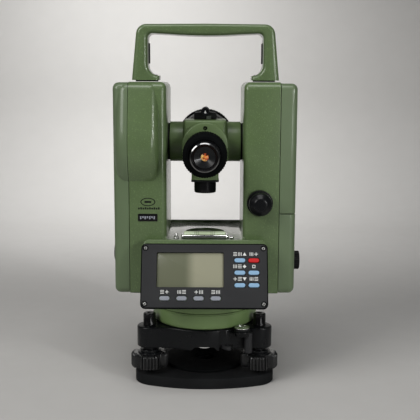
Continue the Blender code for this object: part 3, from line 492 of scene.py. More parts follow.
def on_axis(axis, a, b, t):
    """The point at a, b in an axis's cross-section and t along it."""
    return {X: (t, a, b), Y: (a, t, b), Z: (a, b, t)}[axis]


def prism(outline, low, high, axis=Z):
    return skin([[on_axis(axis, a, b, t) for a, b in outline] for t in (low, high)])


def inset(outline, distance):
    """The outline moved inwards by a distance, point for point (anticlockwise outlines)."""
    out = []
    for i in range(len(outline)):
        a, b, c = (Vector(outline[(i + k) % len(outline)]) for k in (-1, 0, 1))
        u, v = (b - a).normalized(), (c - b).normalized()
        n, m = Vector((-u.y, u.x)), Vector((-v.y, v.x))
        out.append(tuple(b + (n + m) * (distance / (1 + n.dot(m)))))
    return out


def pillow(outline, low, high, r, axis=Z, steps=6, floor=None):
    """A prism whose two ends are rounded by a radius, except along a flat foot at floor."""
    if sum(a[0] * b[1] - b[0] * a[1] for a, b in zip(outline, outline[1:] + outline[:1])) < 0:
        outline = outline[::-1]
    half = [(r * (1 - math.cos(a)), r * (1 - math.sin(a))) for a in quarter(steps)]
    rings = [(low + t, d) for t, d in half] + [(high - t, d) for t, d in half[::-1]]

    def slimmer(distance):
        return [(x, floor if old[1] == floor else y) for old,
                (x, y) in zip(outline, inset(outline, distance))]

    return skin([[on_axis(axis, a, b, t) for a, b in slimmer(d)] for t, d in rings])


def block(low, high, corners, start=0, end=0, axis=Z, levels=7):
    """A rounded block along an axis. corners are the cross-section's radii; start and end are the
    rounding of each end's four edges, in the order low a, high a, low b, high b. One number in
    place of four goes for all of them."""
    corners, start, end = (v if isinstance(v, tuple) else (v,) * 4 for v in (corners, start, end))
    order = {X: (1, 2, 0), Y: (0, 2, 1), Z: (0, 1, 2)}[axis]
    (a0, b0, t0), (a1, b1, t1) = ([point[k] for k in order] for point in (low, high))

    def ring(t, radii, depth):
        shift = [r - math.sqrt(max(0.0, r * r - max(0.0, r - depth) ** 2)) for r in radii]
        beside = [(shift[i] + shift[j]) / 2 for i, j in ((0, 2), (1, 2), (1, 3), (0, 3))]
        softer = [max(0.15, r - loss) for r, loss in zip(corners, beside)]
        outline = rounded_rect((a0 + shift[0], b0 + shift[2]), (a1 - shift[1], b1 - shift[3]), softer)
        return [on_axis(axis, a, b, t) for a, b in outline]

    rings = []
    for radii, base, sign in ((start, t0, 1), (end, t1, -1)):
        reach = max(radii)
        depths = [reach * (1 - math.cos(a)) for a in (quarter(levels) if reach else [0.0])]
        rows = [ring(base + sign * d, radii, d) for d in depths]
        rings += rows if sign > 0 else rows[::-1]
    return skin(rings)


def lathe(profile, sides=72, base=(0, 0, 0), direction=Z, ribs=None, steps=5):
    """A profile of (radius, height[, fillet]) turned about an axis. One that starts and ends on the
    axis gives a solid, any other a ring. ribs is (count, depth, least radius)."""
    solid = profile[0][0] == 0
    points = filleted(profile, steps, closed=not solid)
    count, depth, least = ribs or (0, 0, 0)
    sides = count * 4 if ribs else sides
    rings = []
    for r, h in points:
        row = []
        for a in around(sides):
            dip = depth * (0.5 - 0.5 * math.cos(count * a)) if r > least else 0
            row.append(((r - dip) * math.cos(a), (r - dip) * math.sin(a), h))
        rings.append(row)
    bm = skin(rings, loop=not solid)
    turn = Vector(Z).rotation_difference(Vector(direction)).to_matrix().to_4x4()
    bm.transform(Matrix.Translation(base) @ turn)
    return closed(bm)


def cylinder(r, low, high, base=(0, 0, 0), direction=Z, sides=48, edge=0.0):
    corner = (edge,) if edge else ()
    return lathe([(0, low), (r, low, *corner), (r, high, *corner), (0, high)], sides, base, direction)


def slab(x, y, w, h, low, high, corners, **more):
    """A block of a width and height about a point, in a display's own plane."""
    return block((x - w / 2, y - h / 2, low), (x + w / 2, y + h / 2, high), corners, **more)


def together(parts):
    """Several closed shapes as one mesh."""
    bm = bmesh.new()
    mesh = bpy.data.meshes.new("parts")
    for part in parts:
        part.to_mesh(mesh)
        bm.from_mesh(mesh)
        part.free()
    bpy.data.meshes.remove(mesh)
    return bm


def moved(bm, matrix):
    bm.transform(matrix)
    return bm


# ---- pieces

def raw_object(name, bm):
    bm.transform(Matrix.Scale(MM, 4))
    mesh = bpy.data.meshes.new(name)
    bm.to_mesh(mesh)
    bm.free()
    return put(name, mesh)


def bake(obj):
    graph = bpy.context.evaluated_depsgraph_get()
    mesh = bpy.data.meshes.new_from_object(obj.evaluated_get(graph))
    obj.modifiers.clear()
    obj.data = mesh


def piece(name, bm, look, body, replaces=(), edge=0.0, cuts=(), segments=3, smooth=38):
    """A visible piece in its material, riding on a body. edge rounds sharp edges before cuts."""
    obj = raw_object(name, bm)
    if edge:
        bevel = obj.modifiers.new("edge", "BEVEL")
        bevel.width = edge * MM
        bevel.segments = segments
        bevel.limit_method = "ANGLE"
        bevel.angle_limit = math.radians(40)
    tools = []
    for k, cut in enumerate(cuts):
        tool = raw_object(f"{name}_cut_{k}", cut)
        boolean = obj.modifiers.new("cut", "BOOLEAN")
        boolean.operation = "DIFFERENCE"
        boolean.object = tool
        tools.append(tool)
    if edge or tools:
        bpy.context.view_layer.update()
        bake(obj)
    for tool in tools:
        bpy.data.objects.remove(tool, do_unlink=True)
    obj.data.shade_smooth()
    obj.data.set_sharp_from_angle(angle=math.radians(smooth))
    obj.data.materials.clear()
    obj.data.materials.append(material(look))
    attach(obj, body)
    if replaces:
        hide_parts(*([replaces] if isinstance(replaces, str) else replaces))
    return obj


def keep(node, look):
    """A CAD node whose shape is right keeps it, in a finished material."""
    data = frame["nodes"][node].data
    data.materials.clear()
    data.materials.append(material(look))


# ---- base

# Degrees that each foot screw's knob is turned by at rest.
FOOT_TURNS = {"foot_screw_front_left": 6, "foot_screw_front_right": -9, "foot_screw_rear": 0}


def make_base_plate():
    low, high = span("base_plate")
    corner_r = 20.0
    reach = high.y - corner_r
    plate = prism(rounded_triangle(-low.y, reach, corner_r), low.z, high.z)
    screw_r = 7.9
    piece("base_plate_casting", plate, "plate_black", "base", "base_plate", edge=0.6,
          cuts=[cylinder(screw_r, low.z - 1, high.z + 1)])
    low, high = span("spring_plate")
    r, hole_r = high.x, 9.0
    disc = [(hole_r, low.z), (r, low.z, 0.3), (r, high.z, 0.8), (hole_r, high.z, 0.8)]
    piece("spring_plate_disc", lathe(disc, 96), "matt_black", "base", "spring_plate")


def foot_knob_outline(r, notch, lobes=4, ribs=5, rib_depth=1.3):
    """Lobes with fine grip ribs on their rims and a smooth hollow between each two."""
    points, steps, ribbed, hollow_from = [], 64, 0.6, 0.66
    for k in range(lobes * steps):
        phase = k / steps
        aside = phase - round(phase)
        off = abs(aside) * 2
        hollow = max(0.0, (off - hollow_from) / (1 - hollow_from))
        rib = 0.5 - 0.5 * math.cos(2 * math.pi * ribs * aside / ribbed) if off < ribbed else 0
        radius = r - notch * math.sin(hollow * math.pi / 2) ** 1.3 - rib_depth * rib
        a = 2 * math.pi * phase / lobes
        points.append((radius * math.cos(a), radius * math.sin(a)))
    return points


def make_foot_screws():
    plate_top = span("base_plate")[1].z
    collar_top, stem_top = 30.0, 32.7
    for name in FOOT_TURNS:
        low, high = span(name)
        centre = middle(name)
        turn = math.radians(FOOT_TURNS[name])
        spot = Matrix.Translation((centre.x, centre.y, 0)) @ Matrix.Rotation(turn, 4, Z)
        r = (high.y - low.y) / 2 - 0.05
        knob_low, knob_high = plate_top + 4.7, plate_top + 17.0
        layers = [(knob_low, 1.0), (knob_low + 0.3, 0.3), (knob_low + 1.0, 0), (knob_high - 1.8, 0),
                  (knob_high - 0.7, 0.5), (knob_high, 1.8)]
        rim = skin([[(x, y, z) for x, y in foot_knob_outline(r - d, 4.2)] for z, d in layers])
        piece(f"{name}_knob", moved(rim, spot), "knob_black", name, name)
        stem = [(0, plate_top + GAP), (4.0, plate_top + GAP, 1.5), (4.0, knob_low + 0.5),
                (4.0, knob_high - 0.5), (10.5, knob_high - 0.5), (10.5, knob_high + 0.9, 0.5),
                (8.5, knob_high + 1.2), (8.5, collar_top, 0.6), (5.9, collar_top), (5.9, stem_top, 0.3),
                (0, stem_top)]
        piece(f"{name}_stem", lathe(stem, 48, (centre.x, centre.y, 0)), "enamel_black", name)
        cap = name.replace("screw", "cap")
        low, high = span(cap)
        r = (high.x - low.x) / 2
        shape = [(0, low.z), (r, low.z), (r, low.z + 0.9), (r - 0.15, low.z + 1.1),
                 (r - 0.15, high.z, 0.9), (2.4, high.z, 0.2), (2.0, high.z - 0.7), (0, high.z - 0.7)]
        piece(f"{cap}_cover", lathe(shape, 48, (centre.x, centre.y, 0)), "gloss_black", "base", cap)


def make_tribrach():
    level = middle("circular_level")
    at_level = (level.x, level.y, 0)
    ring_low, ring_high = span("circular_level")
    drum_r = span("base_drum")[1].x
    body_low, body_high = 33.0, 52.0
    screw = middle("foot_screw_rear")
    lobe_r, lobe_fillet, boss_r = 11.0, 40.0, 7.4
    outline = lobed_disc(drum_r - 0.3, screw.y, lobe_r, lobe_fillet, (210, 330, 90))
    recess = (13.0, level.x - boss_r - 0.3)
    sockets = [(spot.x, spot.y, 0) for spot in map(middle, FOOT_TURNS)]
    low_cut, high_cut, arch_top = body_low - 5, body_high + 5, body_low + 4.0
    arch = filleted([(-15.0, 25.0), (15.0, 25.0), (12.0, body_low), (8.0, arch_top, 2.0),
                     (-8.0, arch_top, 2.0), (-12.0, body_low)])
    cuts = [cylinder(14.3, low_cut, high_cut),
            block((recess[0], -60, low_cut), (recess[1], -43.2, high_cut), 0.5),
            block((recess[0], -60, low_cut), (recess[1], -36, 37.7), 0.5),
            prism(arch, -60, -37, Y),
            together([cylinder(4.9, body_low - 2, body_high - 0.6, at, sides=32) for at in sockets])]
    piece("tribrach_casting", prism(outline, body_low, body_high), "enamel_black", "base",
          "tribrach_body", edge=1.3, segments=4, cuts=cuts)
    boss = [(0, 47.0), (boss_r - 0.6, 47.0, 0.8), (boss_r, body_high - 1.6, 0.4),
            (boss_r, body_high - 0.3, 0.6), (0, body_high - 0.3)]
    piece("level_boss", lathe(boss, 64, at_level), "enamel_black", "base")
    # A post at the right of the level's boss, a lighter grey than the black boss: its colour is a painted
    # highlight on the boss.
    post = cylinder(3.5, 31.5, 50.0, (level.x + 5.6, level.y - 0.4, 0), edge=0.8)
    piece("level_post_painted_highlight", post, "charcoal", "base")
    pad = cylinder(6.8, 0, 1.6, (0, -38.6, body_low + 2.2), sides=40, edge=0.4)
    piece("centre_clamp_pad", pad, "chrome", "base")
    r, bore = (ring_high.x - ring_low.x) / 2, 5.9
    rim = [(bore, ring_low.z), (r, ring_low.z), (r, ring_high.z - 0.5, 0.5), (bore, ring_high.z - 0.5)]
    piece("circular_level_rim", lathe(rim, 64, at_level), "enamel_black", "base", "circular_level")
    bezel_r, bezel_low = r - 0.35, ring_high.z - 0.48
    bezel = [(bore, bezel_low), (bezel_r, bezel_low), (bezel_r, ring_high.z, 0.2),
             (bore, ring_high.z, 0.1)]
    piece("circular_level_bezel", lathe(bezel, 64, at_level), "chrome", "base")
    top, r = span("circular_level_vial")[1].z, bore - 0.3
    liquid = [(0, ring_low.z), (r, ring_low.z), (r, top - 0.25), (3.0, top), (0, top + 0.05)]
    piece("circular_level_liquid", lathe(liquid, 48, at_level), "level_liquid", "base",
          "circular_level_vial")
    mark = [(2.2, top + 0.02), (2.6, top - 0.02), (2.6, top + 0.10), (2.2, top + 0.14)]
    piece("circular_level_mark", lathe(mark, 40, at_level), "plastic_black", "base")
    bubble = [(0, top + 0.02), (1.5, top + 0.04, 0.1), (1.2, top + 0.3, 0.3), (0, top + 0.4)]
    piece("circular_level_bubble", lathe(bubble, 32, (level.x + 0.4, level.y + 0.4, 0)), "glass_clear",
          "base")


def make_lock_lever():
    low, high = span("tribrach_lock_lever")
    spot = pivot("lock_lever_swing")
    rest_angle, arm, r = -43, 6.4, 2.2
    turn = Matrix.Translation((spot.x, spot.y, 0)) @ Matrix.Rotation(math.radians(rest_angle), 4, "Z")
    outline = arc(0, 0, r, 90, 270, 16) + arc(arm, 0, r, -90, 90, 16)
    piece("lock_lever_arm", moved(prism(outline, low.z, high.z), turn), "charcoal", "lock_lever",
          "tribrach_lock_lever", edge=0.5)


def make_drum():
    low, high = span("base_drum")
    r = high.x
    floor = span("tribrach_body")[1].z + GAP
    edge = filleted([(45.4, floor, 0.5), (46.8, floor + 0.9, 1.2), (r, floor + 2.9, 1.5)], 3,
                    closed=False)
    bore, sleeve_r, sleeve_top, rim = 8.3, 14.0, 64.0, r - 0.5
    profile = [(bore, low.z), (sleeve_r, low.z, 0.5), (sleeve_r, floor), *edge,
               (r, high.z - 1.2), (rim, high.z - 0.7), (rim, high.z), (r - 3, high.z),
               (r - 3, floor + 4), (sleeve_r, floor + 4), (sleeve_r, sleeve_top), (bore, sleeve_top)]
    # The drum's green is brightened: painted light.
    piece("drum_casing", lathe(profile, 128, steps=8), "green_drum_painted_light", "base", "base_drum")


# ---- alidade

def housing_section(shrink):
    """Side outline of the vertical circle's housing: round below, leaning back to the top above."""
    r, top, corner = CIRCLE_R, STANDARD_TOP - 0.4, 8.0
    lean_y, lean_z = STANDARD_Y + 1.6, top - 8.0
    far = math.hypot(lean_y, lean_z - TRUNNION.z)
    touch = math.degrees(math.atan2(lean_z - TRUNNION.z, lean_y) - math.acos(r / far))
    lower = arc(0, TRUNNION.z, r - shrink, -180 - touch, touch, 48)
    right = arc(lean_y - corner - shrink, top - corner - shrink, corner, 8, 90, 6)
    return lower + right + [(-y, z) for y, z in right[::-1]]


def housing_bulge(start, crest, foot):
    """The housing from its flat end, over its crest, down a smooth slope to its foot."""
    rings = [[(start, y, z) for y, z in housing_section(0)]]
    r, depth = abs(foot - crest), 11.0
    for a in quarter(10):
        rings.append([(crest + (foot - crest) * math.sin(a), y, z)
                      for y, z in housing_section(r * (1 - math.cos(a)))])
    rings.append([(foot, y, z) for y, z in housing_section(depth)])
    return skin(rings)


def make_frame():
    seam_left, seam_right = span("left_cover")[1].x + SEAM, span("right_cover")[0].x - SEAM
    y, top, low = STANDARD_Y, STANDARD_TOP, STANDARD_LOW
    inner, outer = 4.5, 0.6
    standards = [
        ("left_standard", (seam_left, -INNER_X), (outer, inner, inner, outer), (0.6, 5.5, 7.0, 7.0)),
        ("right_standard", (INNER_X, seam_right), (inner, outer, outer, inner), (5.5, 0.6, 7.0, 7.0)),
    ]
    for name, (x0, x1), corners, rounding in standards:
        shape = block((x0, -y, low), (x1, y, top), corners, (1.0, 1.0, 2.5, 2.5), rounding)
        piece(name, shape, "green", "alidade", "alidade_frame" if name == "left_standard" else ())
    corner, inside, well_r = 2.6, INNER_X + 2, 17.8
    left = [(-inside, low), (-inside, DECK_Z + corner)]
    left += arc(-INNER_X + corner, DECK_Z + corner, corner, 180, 270, 8)
    deck = prism(left + [(-a, b) for a, b in left[::-1]], -y, y, Y)
    piece("deck", deck, "green_gloss", "alidade", edge=1.6,
          cuts=[cylinder(well_r, DECK_Z - 2.5, DECK_Z + 5, sides=96)])
    well = [(0, DECK_Z - 2.45), (17.6, DECK_Z - 2.45), (17.6, DECK_Z - 1.0, 0.3),
            (15.6, DECK_Z - 1.0, 0.3), (15.2, DECK_Z - 1.6), (7.5, DECK_Z - 1.6, 0.2),
            (7.0, DECK_Z - 2.3), (0, DECK_Z - 2.3)]
    piece("deck_centre_plate", lathe(well, 96), "green_smooth", "alidade")
    plug = [(0, DECK_Z - 2.3), (4.6, DECK_Z - 2.3), (4.6, DECK_Z - 1.2, 0.4), (0, DECK_Z - 1.2)]
    piece("deck_centre_plug", lathe(plug, 40, (5.0, -1.5, 0)), "rubber_black", "alidade")
    r = span("base_drum")[1].x
    bottom = span("base_drum")[1].z + 0.6
    skirt = [(0, bottom), (r - 0.6, bottom), (r, bottom + 0.6, 0.3), (r, low - 2.0),
             (r - 0.8, low + 0.3, 0.5), (r - 0.8, low + 2), (0, low + 2)]
    # The skirt's green is brightened: painted light.
    piece("skirt", lathe(skirt, 128), "green_drum_painted_light", "alidade")
    piece("circle_housing_front", housing_bulge(seam_left, -46.8, -38.8), "green", "alidade")
    for name, side in SIDES:
        shaft_r, r, face = 11.4, 16.6, 31.8
        seal = [(shaft_r, face), (r, face, 0.4), (r, INNER_X + 1), (shaft_r, INNER_X + 1)]
        piece(f"{name}_trunnion_seal", lathe(seal, 64, TRUNNION, (side, 0, 0)), "rubber_black", "alidade",
              f"{name}_trunnion_bearing")
    keep("vertical_spindle", "steel")
    keep("main_board", "board_green")


def cover_screws(name, heights, face, side):
    """Socket-head screws sunk in a cover, and the counterbores to cut for them."""
    out_y, sunk, axis = 34.0, 2.0, (side, 0, 0)
    spots = [(sign * out_y, z) for sign in (-1, 1) for z in heights]
    for k, (y, z) in enumerate(spots):
        head = [(0, 0.3), (2.0, 0.3), (2.0, 1.3, 0.3), (1.0, 1.3), (1.0, 0.6), (0, 0.6)]
        shape = lathe(head, 32, (face - side * sunk, y, z), axis)
        piece(f"{name}_screw_{k + 1}", shape, "dark_chrome", "alidade")
    return together([cylinder(2.4, -1.7, 2, (face, y, z), axis, sides=32) for y, z in spots])


def seam_ring(r, face, side, spot):
    """A round groove to cut in a cover about an axis."""
    return lathe(rect(r, -0.5, r + 0.7, 2.0), 96, (face, spot.y, spot.z), (side, 0, 0))


def make_covers():
    low, high = span("left_cover")
    y = STANDARD_Y
    inner_x = high.x - SEAM
    shape = block((low.x, -y, low.z), (inner_x, y, high.z), 6.0, 5.0, axis=X)
    sunk = cover_screws("left_cover", (low.z + 9, high.z - 9), low.x, -1)
    piece("left_side_cover", shape, "green_cover", "alidade", "left_cover",
          cuts=[sunk, seam_ring(24.0, low.x, -1, TRUNNION)])
    bulge = housing_bulge(inner_x, high.x - 2.0, low.x + 1.6)
    piece("circle_housing_side", bulge, "green_cover", "alidade")
    low, high = span("right_cover")
    shape = block((low.x + SEAM, -y, low.z), (high.x, y, high.z), (0.8, 0.8, 6.0, 6.0),
                  end=(5.0, 5.0, 0.6, 5.0), axis=X)
    sunk = cover_screws("right_cover", (low.z + 8, high.z - 9), high.x, 1)
    piece("right_side_cover", shape, "green_cover", "alidade", "right_cover",
          cuts=[sunk, seam_ring(16.0, high.x, 1, TRUNNION)])
    cap_low, cap_high = span("data_port_cap")
    spot = middle("data_port_cap")
    r, proud = (cap_high.z - cap_low.z) / 2, cap_high.x - cap_low.x
    shape = [(0, 0), (r, 0), (r, proud, 1.2), (5.2, proud, 0.2), (4.8, 5.8), (0, 5.8)]
    cap = lathe(shape, 60, (cap_high.x, spot.y, spot.z), (-1, 0, 0), ribs=(30, 0.35, r - 0.6))
    piece("data_port_cover", cap, "plastic_black", "alidade", "data_port_cap")


def make_battery():
    low, high = span("battery_pack")
    shell_x = span("right_cover")[0].x + SEAM
    y = STANDARD_Y
    shape = block((shell_x, -y, low.z), (high.x, y, high.z), (6.0, 6.0, 0.8, 0.8),
                  end=(5.0, 5.0, 5.0, 0.6), axis=X)
    piece("battery_case", shape, "green_cover", "battery", "battery_pack")
    piece("battery_plug", block((low.x, -33, low.z + 9), (shell_x + 1, 33, high.z - 8), 2.0, axis=X),
          "plastic_black", "battery")
    low, high = span("battery_lock_knob")
    spot = middle("battery_lock_knob")
    r = (high.z - low.z) / 2
    reach = high.x - span("battery_pack")[1].x - GAP
    shape = [(0, 0), (r, 0, 0.3), (r, reach, 1.0), (0, reach)]
    base = (high.x - reach, spot.y, spot.z)
    coin = Vector((0, 0.9, 6.5))
    slot_cut = block(Vector((high.x - 1.6, spot.y, spot.z)) - coin, Vector((high.x + 1, spot.y, spot.z))
                     + coin, 0.4)
    knob = lathe(shape, 96, base, X, ribs=(28, 0.4, r - 0.5))
    piece("battery_lock", knob, "plastic_black", "battery_lock", "battery_lock_knob", cuts=[slot_cut])


def make_plate_level():
    low, high = span("plate_level_housing")
    lowered = 1.4
    high.z -= lowered
    y, z = middle("plate_level_housing").y, span("plate_level_vial")[0].z + 3.5
    half = high.x
    shape = block((-half, low.y, low.z), (half, high.y, high.z), 2.0, end=1.5)
    window = block((-half + 4.5, low.y + 2.2, z - 0.5), (half - 4.5, high.y - 1.8, high.z + 2), 1.4)
    bore = cylinder(3.7, -half + 2, half - 2, (0, y, z), X)
    piece("plate_level_case", shape, "chrome", "alidade", "plate_level_housing", cuts=[bore, window])
    tube = [(0, -half + 2.4), (3.4, -half + 2.4, 0.8), (3.4, half - 2.4, 0.8), (0, half - 2.4)]
    piece("plate_level_tube", lathe(tube, 40, (0, y, z), X), "level_liquid", "alidade",
          "plate_level_vial")
    bubble = [(0, -5.0), (1.4, -4.6, 0.8), (1.4, 4.6, 0.8), (0, 5.0)]
    piece("plate_level_bubble", lathe(bubble, 24, (0.8, y, z + 2.2), X), "glass_clear", "alidade")
    marks = [lathe(rect(3.42, x - 0.12, 3.52, x + 0.12), 40, (0, y, z), X)
             for x in (-8.6, -7.0, -5.4, 5.4, 7.0, 8.6)]
    piece("plate_level_marks", together(marks), "plastic_black", "alidade")
    plinth = block((-half - 1.5, low.y - 0.5, DECK_Z + LIFT), (half + 1.5, high.y + 0.5, low.z + 0.3),
                   2.0)
    piece("plate_level_plinth", plinth, "green", "alidade")
    for k, dy in enumerate((-3.2, 3.2)):
        stud = [(0, 0), (2.2, 0), (2.2, 2.0, 0.3), (1.2, 2.2), (1.2, 4.6, 0.3), (0, 4.6)]
        piece(f"plate_level_capstan_{k + 1}", lathe(stud, 32, (-half - 4.4, y + dy, DECK_Z)), "chrome",
              "alidade")
    lug = block((half + 0.2, low.y + 2, DECK_Z + LIFT), (half + 5.0, high.y - 2, DECK_Z + 2.6), 1.5,
                end=0.8)
    piece("plate_level_lug", lug, "chrome", "alidade")
    screw = lathe([(0, 0), (1.5, 0), (1.5, 1.1, 0.4), (0, 1.1)], 24, (half + 2.8, y, DECK_Z + 2.5))
    piece("plate_level_lug_screw", screw, "steel", "alidade")


def make_handle():
    low, high = span("handle")
    top, bar, sag = high.z, high.z - 8.4, 1.9
    half_top, half_foot, half_y, inner = 60.0, high.x, high.y, 50.6
    foot_x, foot_z = 40.6, low.z + 1.2
    flare = arc(foot_x, low.z + 14.9, 10.0, -78, 0, 10)
    corner = arc(inner - 4.4, bar - 4.4, 4.4, 0, 90, 6)
    under = [(x, bar - sag * (1 - (x / 40) ** 2)) for x in (32, 24, 16, 8)]
    upper = filleted([(half_foot, foot_z), (half_top, top - 0.5, 9.0), (0, top)], 9, closed=False)
    right = [(foot_x, foot_z), (half_foot, foot_z)] + upper[1:-1]
    within = [(foot_x, flare[0][1]), *flare, *corner, *under]
    outline = right + [(0, top)] + [(-x, z) for x, z in right[::-1]]
    outline += [(-x, z) for x, z in within] + [(0, bar - sag)] + within[::-1]
    body = pillow(outline, -half_y, half_y, 3.4, Y, floor=foot_z)
    piece("handle_casting", body, "green", "alidade", "handle")
    for name, side in SIDES:
        pad = block((42.5, -10.5, low.z), (61.5, 10.5, low.z + 1.4), 2.0)
        strip = block((49.9, 1.0, 283.5), (51.4, 11.5, 301.5), 0.5, 0.5, 0.5, levels=3)
        mirror = Matrix.Scale(side, 4, X)
        piece(f"{name}_handle_pad", closed(moved(pad, mirror)), "rubber_black", "alidade")
        piece(f"{name}_handle_strip", closed(moved(strip, mirror)), "rubber_black", "alidade")
        for k, y in enumerate((-6.5, 6.5)):
            head = [(0, 0), (2.6, 0), (2.6, 1.4, 0.5), (1.4, 1.4), (1.2, 0.5), (0, 0.5)]
            screw = lathe(head, 32, (side * 45.5, y, low.z + 4.6))
            piece(f"{name}_handle_screw_{k + 1}", screw, "steel", "alidade")


# ---- displays

PANEL_THICK = 3.5
LCD_W, LCD_H = 56.8, 29.6
KEY_TALL, KEY_GAP = 3.6, 0.45
LEGEND_UP, LEGEND_PITCH, LEGEND_SIZE, LEGEND_PROUD = 5.4, 4.0, 3.3, 0.06


def panel_plane(side):
    """Frame of a display's face: X to the reader's right, Y up the slope, Z out of it."""
    _, rise, fall = joint("key_power_press")["axis"]
    run = -fall
    low, high = span("front_panel")
    top = Vector((0, high.y - PANEL_THICK * rise, high.z))
    bottom = Vector((0, low.y, low.z + PANEL_THICK * run))
    centre = (top + bottom) / 2
    axes = Matrix(((-side, 0, 0), (0, -side * run, rise), (0, side * rise, run))).transposed().to_4x4()
    height = (top - bottom).length
    return Matrix.Translation((0, side * abs(centre.y), centre.z)) @ axes, height


def legend(x, y, kind):
    """Small generic marks printed above a key, as flat solids just proud of the panel."""
    w, t = 0.95, 0.32
    bars = {
        "up": [[(-1, -0.8), (1, -0.8), (0, 0.9)]],
        "down": [[(-1, 0.8), (0, -0.9), (1, 0.8)]],
        "diamond": [[(-w, 0), (0, -w), (w, 0), (0, w)]],
        "square": [rect(-0.8, -0.8, 0.8, -0.5), rect(-0.8, 0.5, 0.8, 0.8),
                   rect(-0.8, -0.5, -0.5, 0.5), rect(0.5, -0.5, 0.8, 0.5)],
        "rows": [rect(-w, v, w, v + t) for v in (-0.9, -0.15, 0.6)],
        "posts": [rect(v, -0.9, v + t, 0.9) for v in (-0.9, -0.16, 0.58)],
        "cross": [rect(-0.9, -t / 2, 0.9, t / 2), rect(-t / 2, t / 2, t / 2, 0.9),
                  rect(-t / 2, -0.9, t / 2, -t / 2)],
    }[kind]
    half = LEGEND_SIZE / 2
    return [prism([(x + a * half, y + b * half) for a, b in bar], 0.0, LEGEND_PROUD) for bar in bars]


LEGENDS = {
    "display_key_1": ("rows", "cross"), "display_key_2": ("posts", "rows"),
    "display_key_3": ("cross", "posts"), "display_key_4": ("rows", "posts"),
    "key_upper_left": ("rows", "posts", "up"), "key_power": ("posts", "cross"),
    "key_middle_left": ("posts", "rows", "diamond"), "key_middle_right": ("square",),
    "key_lower_left": ("cross", "rows", "down"), "key_lower_right": ("posts", "rows"),
}


def make_panel_screws(label, spots, plane):
    """Countersunk cross-head screws, each turned differently in its seat."""
    profile = [(0, -1.8), (1.7, -1.8), (1.7, -0.7, 0.3), (0.9, -0.2), (0, -0.1)]
    for k, (x, y) in enumerate(spots):
        there = Matrix.Translation((x, y, 0))
        turn = plane @ there @ Matrix.Rotation(0.5 + k, 4, "Z") @ there.inverted()
        arms = [slab(x, y, w, h, -1.25, 0.5, 0.1) for w, h in ((2.6, 0.5), (0.5, 2.6))]
        piece(f"{label}_panel_screw_{k + 1}", moved(lathe(profile, 32, (x, y, 0)), turn),
              "screw_grey", "alidade", cuts=[moved(arm, turn) for arm in arms])


def make_keys(places, plane):
    for name, (x, y, w, h) in places.items():
        look = "key_blue" if name.startswith("key") else "key_grey"
        look = "key_red" if name == "key_power" else look
        cap = slab(x, y, w, h, -3.6, 0.9, h / 2 - 0.02, end=0.5, levels=4)
        piece(f"{name}_cap", moved(cap, plane), look, name, name)
        start = x - LEGEND_PITCH * (len(LEGENDS[name]) - 1) / 2
        marks = [mark for k, kind in enumerate(LEGENDS[name])
                 for mark in legend(start + LEGEND_PITCH * k, y + LEGEND_UP, kind)]
        piece(f"{name}_legend", moved(together(marks), plane), "ink_white", "alidade")


def make_display(label, side, keys):
    plane, height = panel_plane(side)
    low, high = span(f"{label}_panel")
    width = high.x - low.x
    lcd = panel_plane(-1)[0].inverted() @ middle("front_lcd")
    places = {}
    for name in keys:
        spot = plane.inverted() @ middle(name)
        key_low, key_high = span(name)
        places[name] = (spot.x, spot.y, key_high.x - key_low.x, KEY_TALL)
    screws = [(sx * (width / 2 - 3.7), sy * (height / 2 - 4.1)) for sx in (-1, 1) for sy in (-1, 1)]
    cuts = [slab(lcd.x, lcd.y, LCD_W, LCD_H, -5, 2, 1.0)]
    cuts += [cylinder(2.5, -2.0, 1, (x, y, 0), sides=32) for x, y in screws]
    cuts += [slab(x, y, w + 2 * KEY_GAP, h + 2 * KEY_GAP, -5, 2, h / 2) for x, y, w, h in places.values()]
    plate = slab(0, 0, width - 1.8, height - 1.8, 0.6 - PANEL_THICK, 0, 3.4, end=0.5, levels=4)
    piece(f"{label}_bezel", moved(plate, plane), "charcoal", "alidade", f"{label}_panel",
          cuts=[moved(cut, plane) for cut in cuts])
    rim = slab(0, 0, width, height, -PANEL_THICK, -0.5, 4.2, end=0.8, levels=4)
    inner = slab(0, 0, width - 10, height - 10, -PANEL_THICK - 2, 1, 3.5)
    piece(f"{label}_gasket", moved(rim, plane), "matt_black", "alidade", cuts=[moved(inner, plane)])
    glass = slab(lcd.x, lcd.y, LCD_W - 0.4, LCD_H - 0.4, -3.4, -1.9, 0.8, end=0.2, levels=2)
    piece(f"{label}_screen", moved(glass, plane), "lcd", "alidade", "front_lcd"
          if label == "front" else ())
    make_panel_screws(label, screws, plane)
    make_keys(places, plane)
    make_housing(label, side, plane)


def make_housing(label, side, plane):
    high = span(f"{label}_housing")[1]
    half = high.x
    up = plane.to_3x3() @ Vector(Y)
    anchor = plane @ Vector((0, 0, -PANEL_THICK - GAP))

    def on_back(z):
        """Distance from the axis of the housing's sloping face at height z."""
        t = (z - anchor.z) / up.z
        return abs(anchor.y + t * up.y)

    near, top, r = STANDARD_Y + 0.05, high.z, 4.5
    foot_back, low_z = on_back(82.5), 82.5

    def section(drop):
        """Side outline of the console with its top lowered by a distance."""
        t = top - drop
        points = [(near, 92.0), (58.0, 88.5, 6.0), (foot_back - 2.0, low_z + 0.5, 1.0),
                  (foot_back, low_z, 0.5), (on_back(t), t, 0.8), (on_back(t) - 2.6, t, 0.8),
                  (48.5, DECK_Z - drop, 1.0), (near, DECK_Z - drop)]
        return filleted(points, 5)

    ends = [(half - r + r * math.sin(a), r * (1 - math.cos(a))) for a in quarter(7)]
    stations = [(-x, drop) for x, drop in ends[::-1]] + ends
    body = skin([[(x, side * y, z) for y, z in section(drop)] for x, drop in stations])
    pocket = block((3.0 - half, -22, -12), (half - 3.0, 20, 0), 2.0)
    look = "green" if side < 0 else "green_gloss"
    piece(f"{label}_console", body, look, "alidade", f"{label}_housing", cuts=[moved(pocket, plane)])


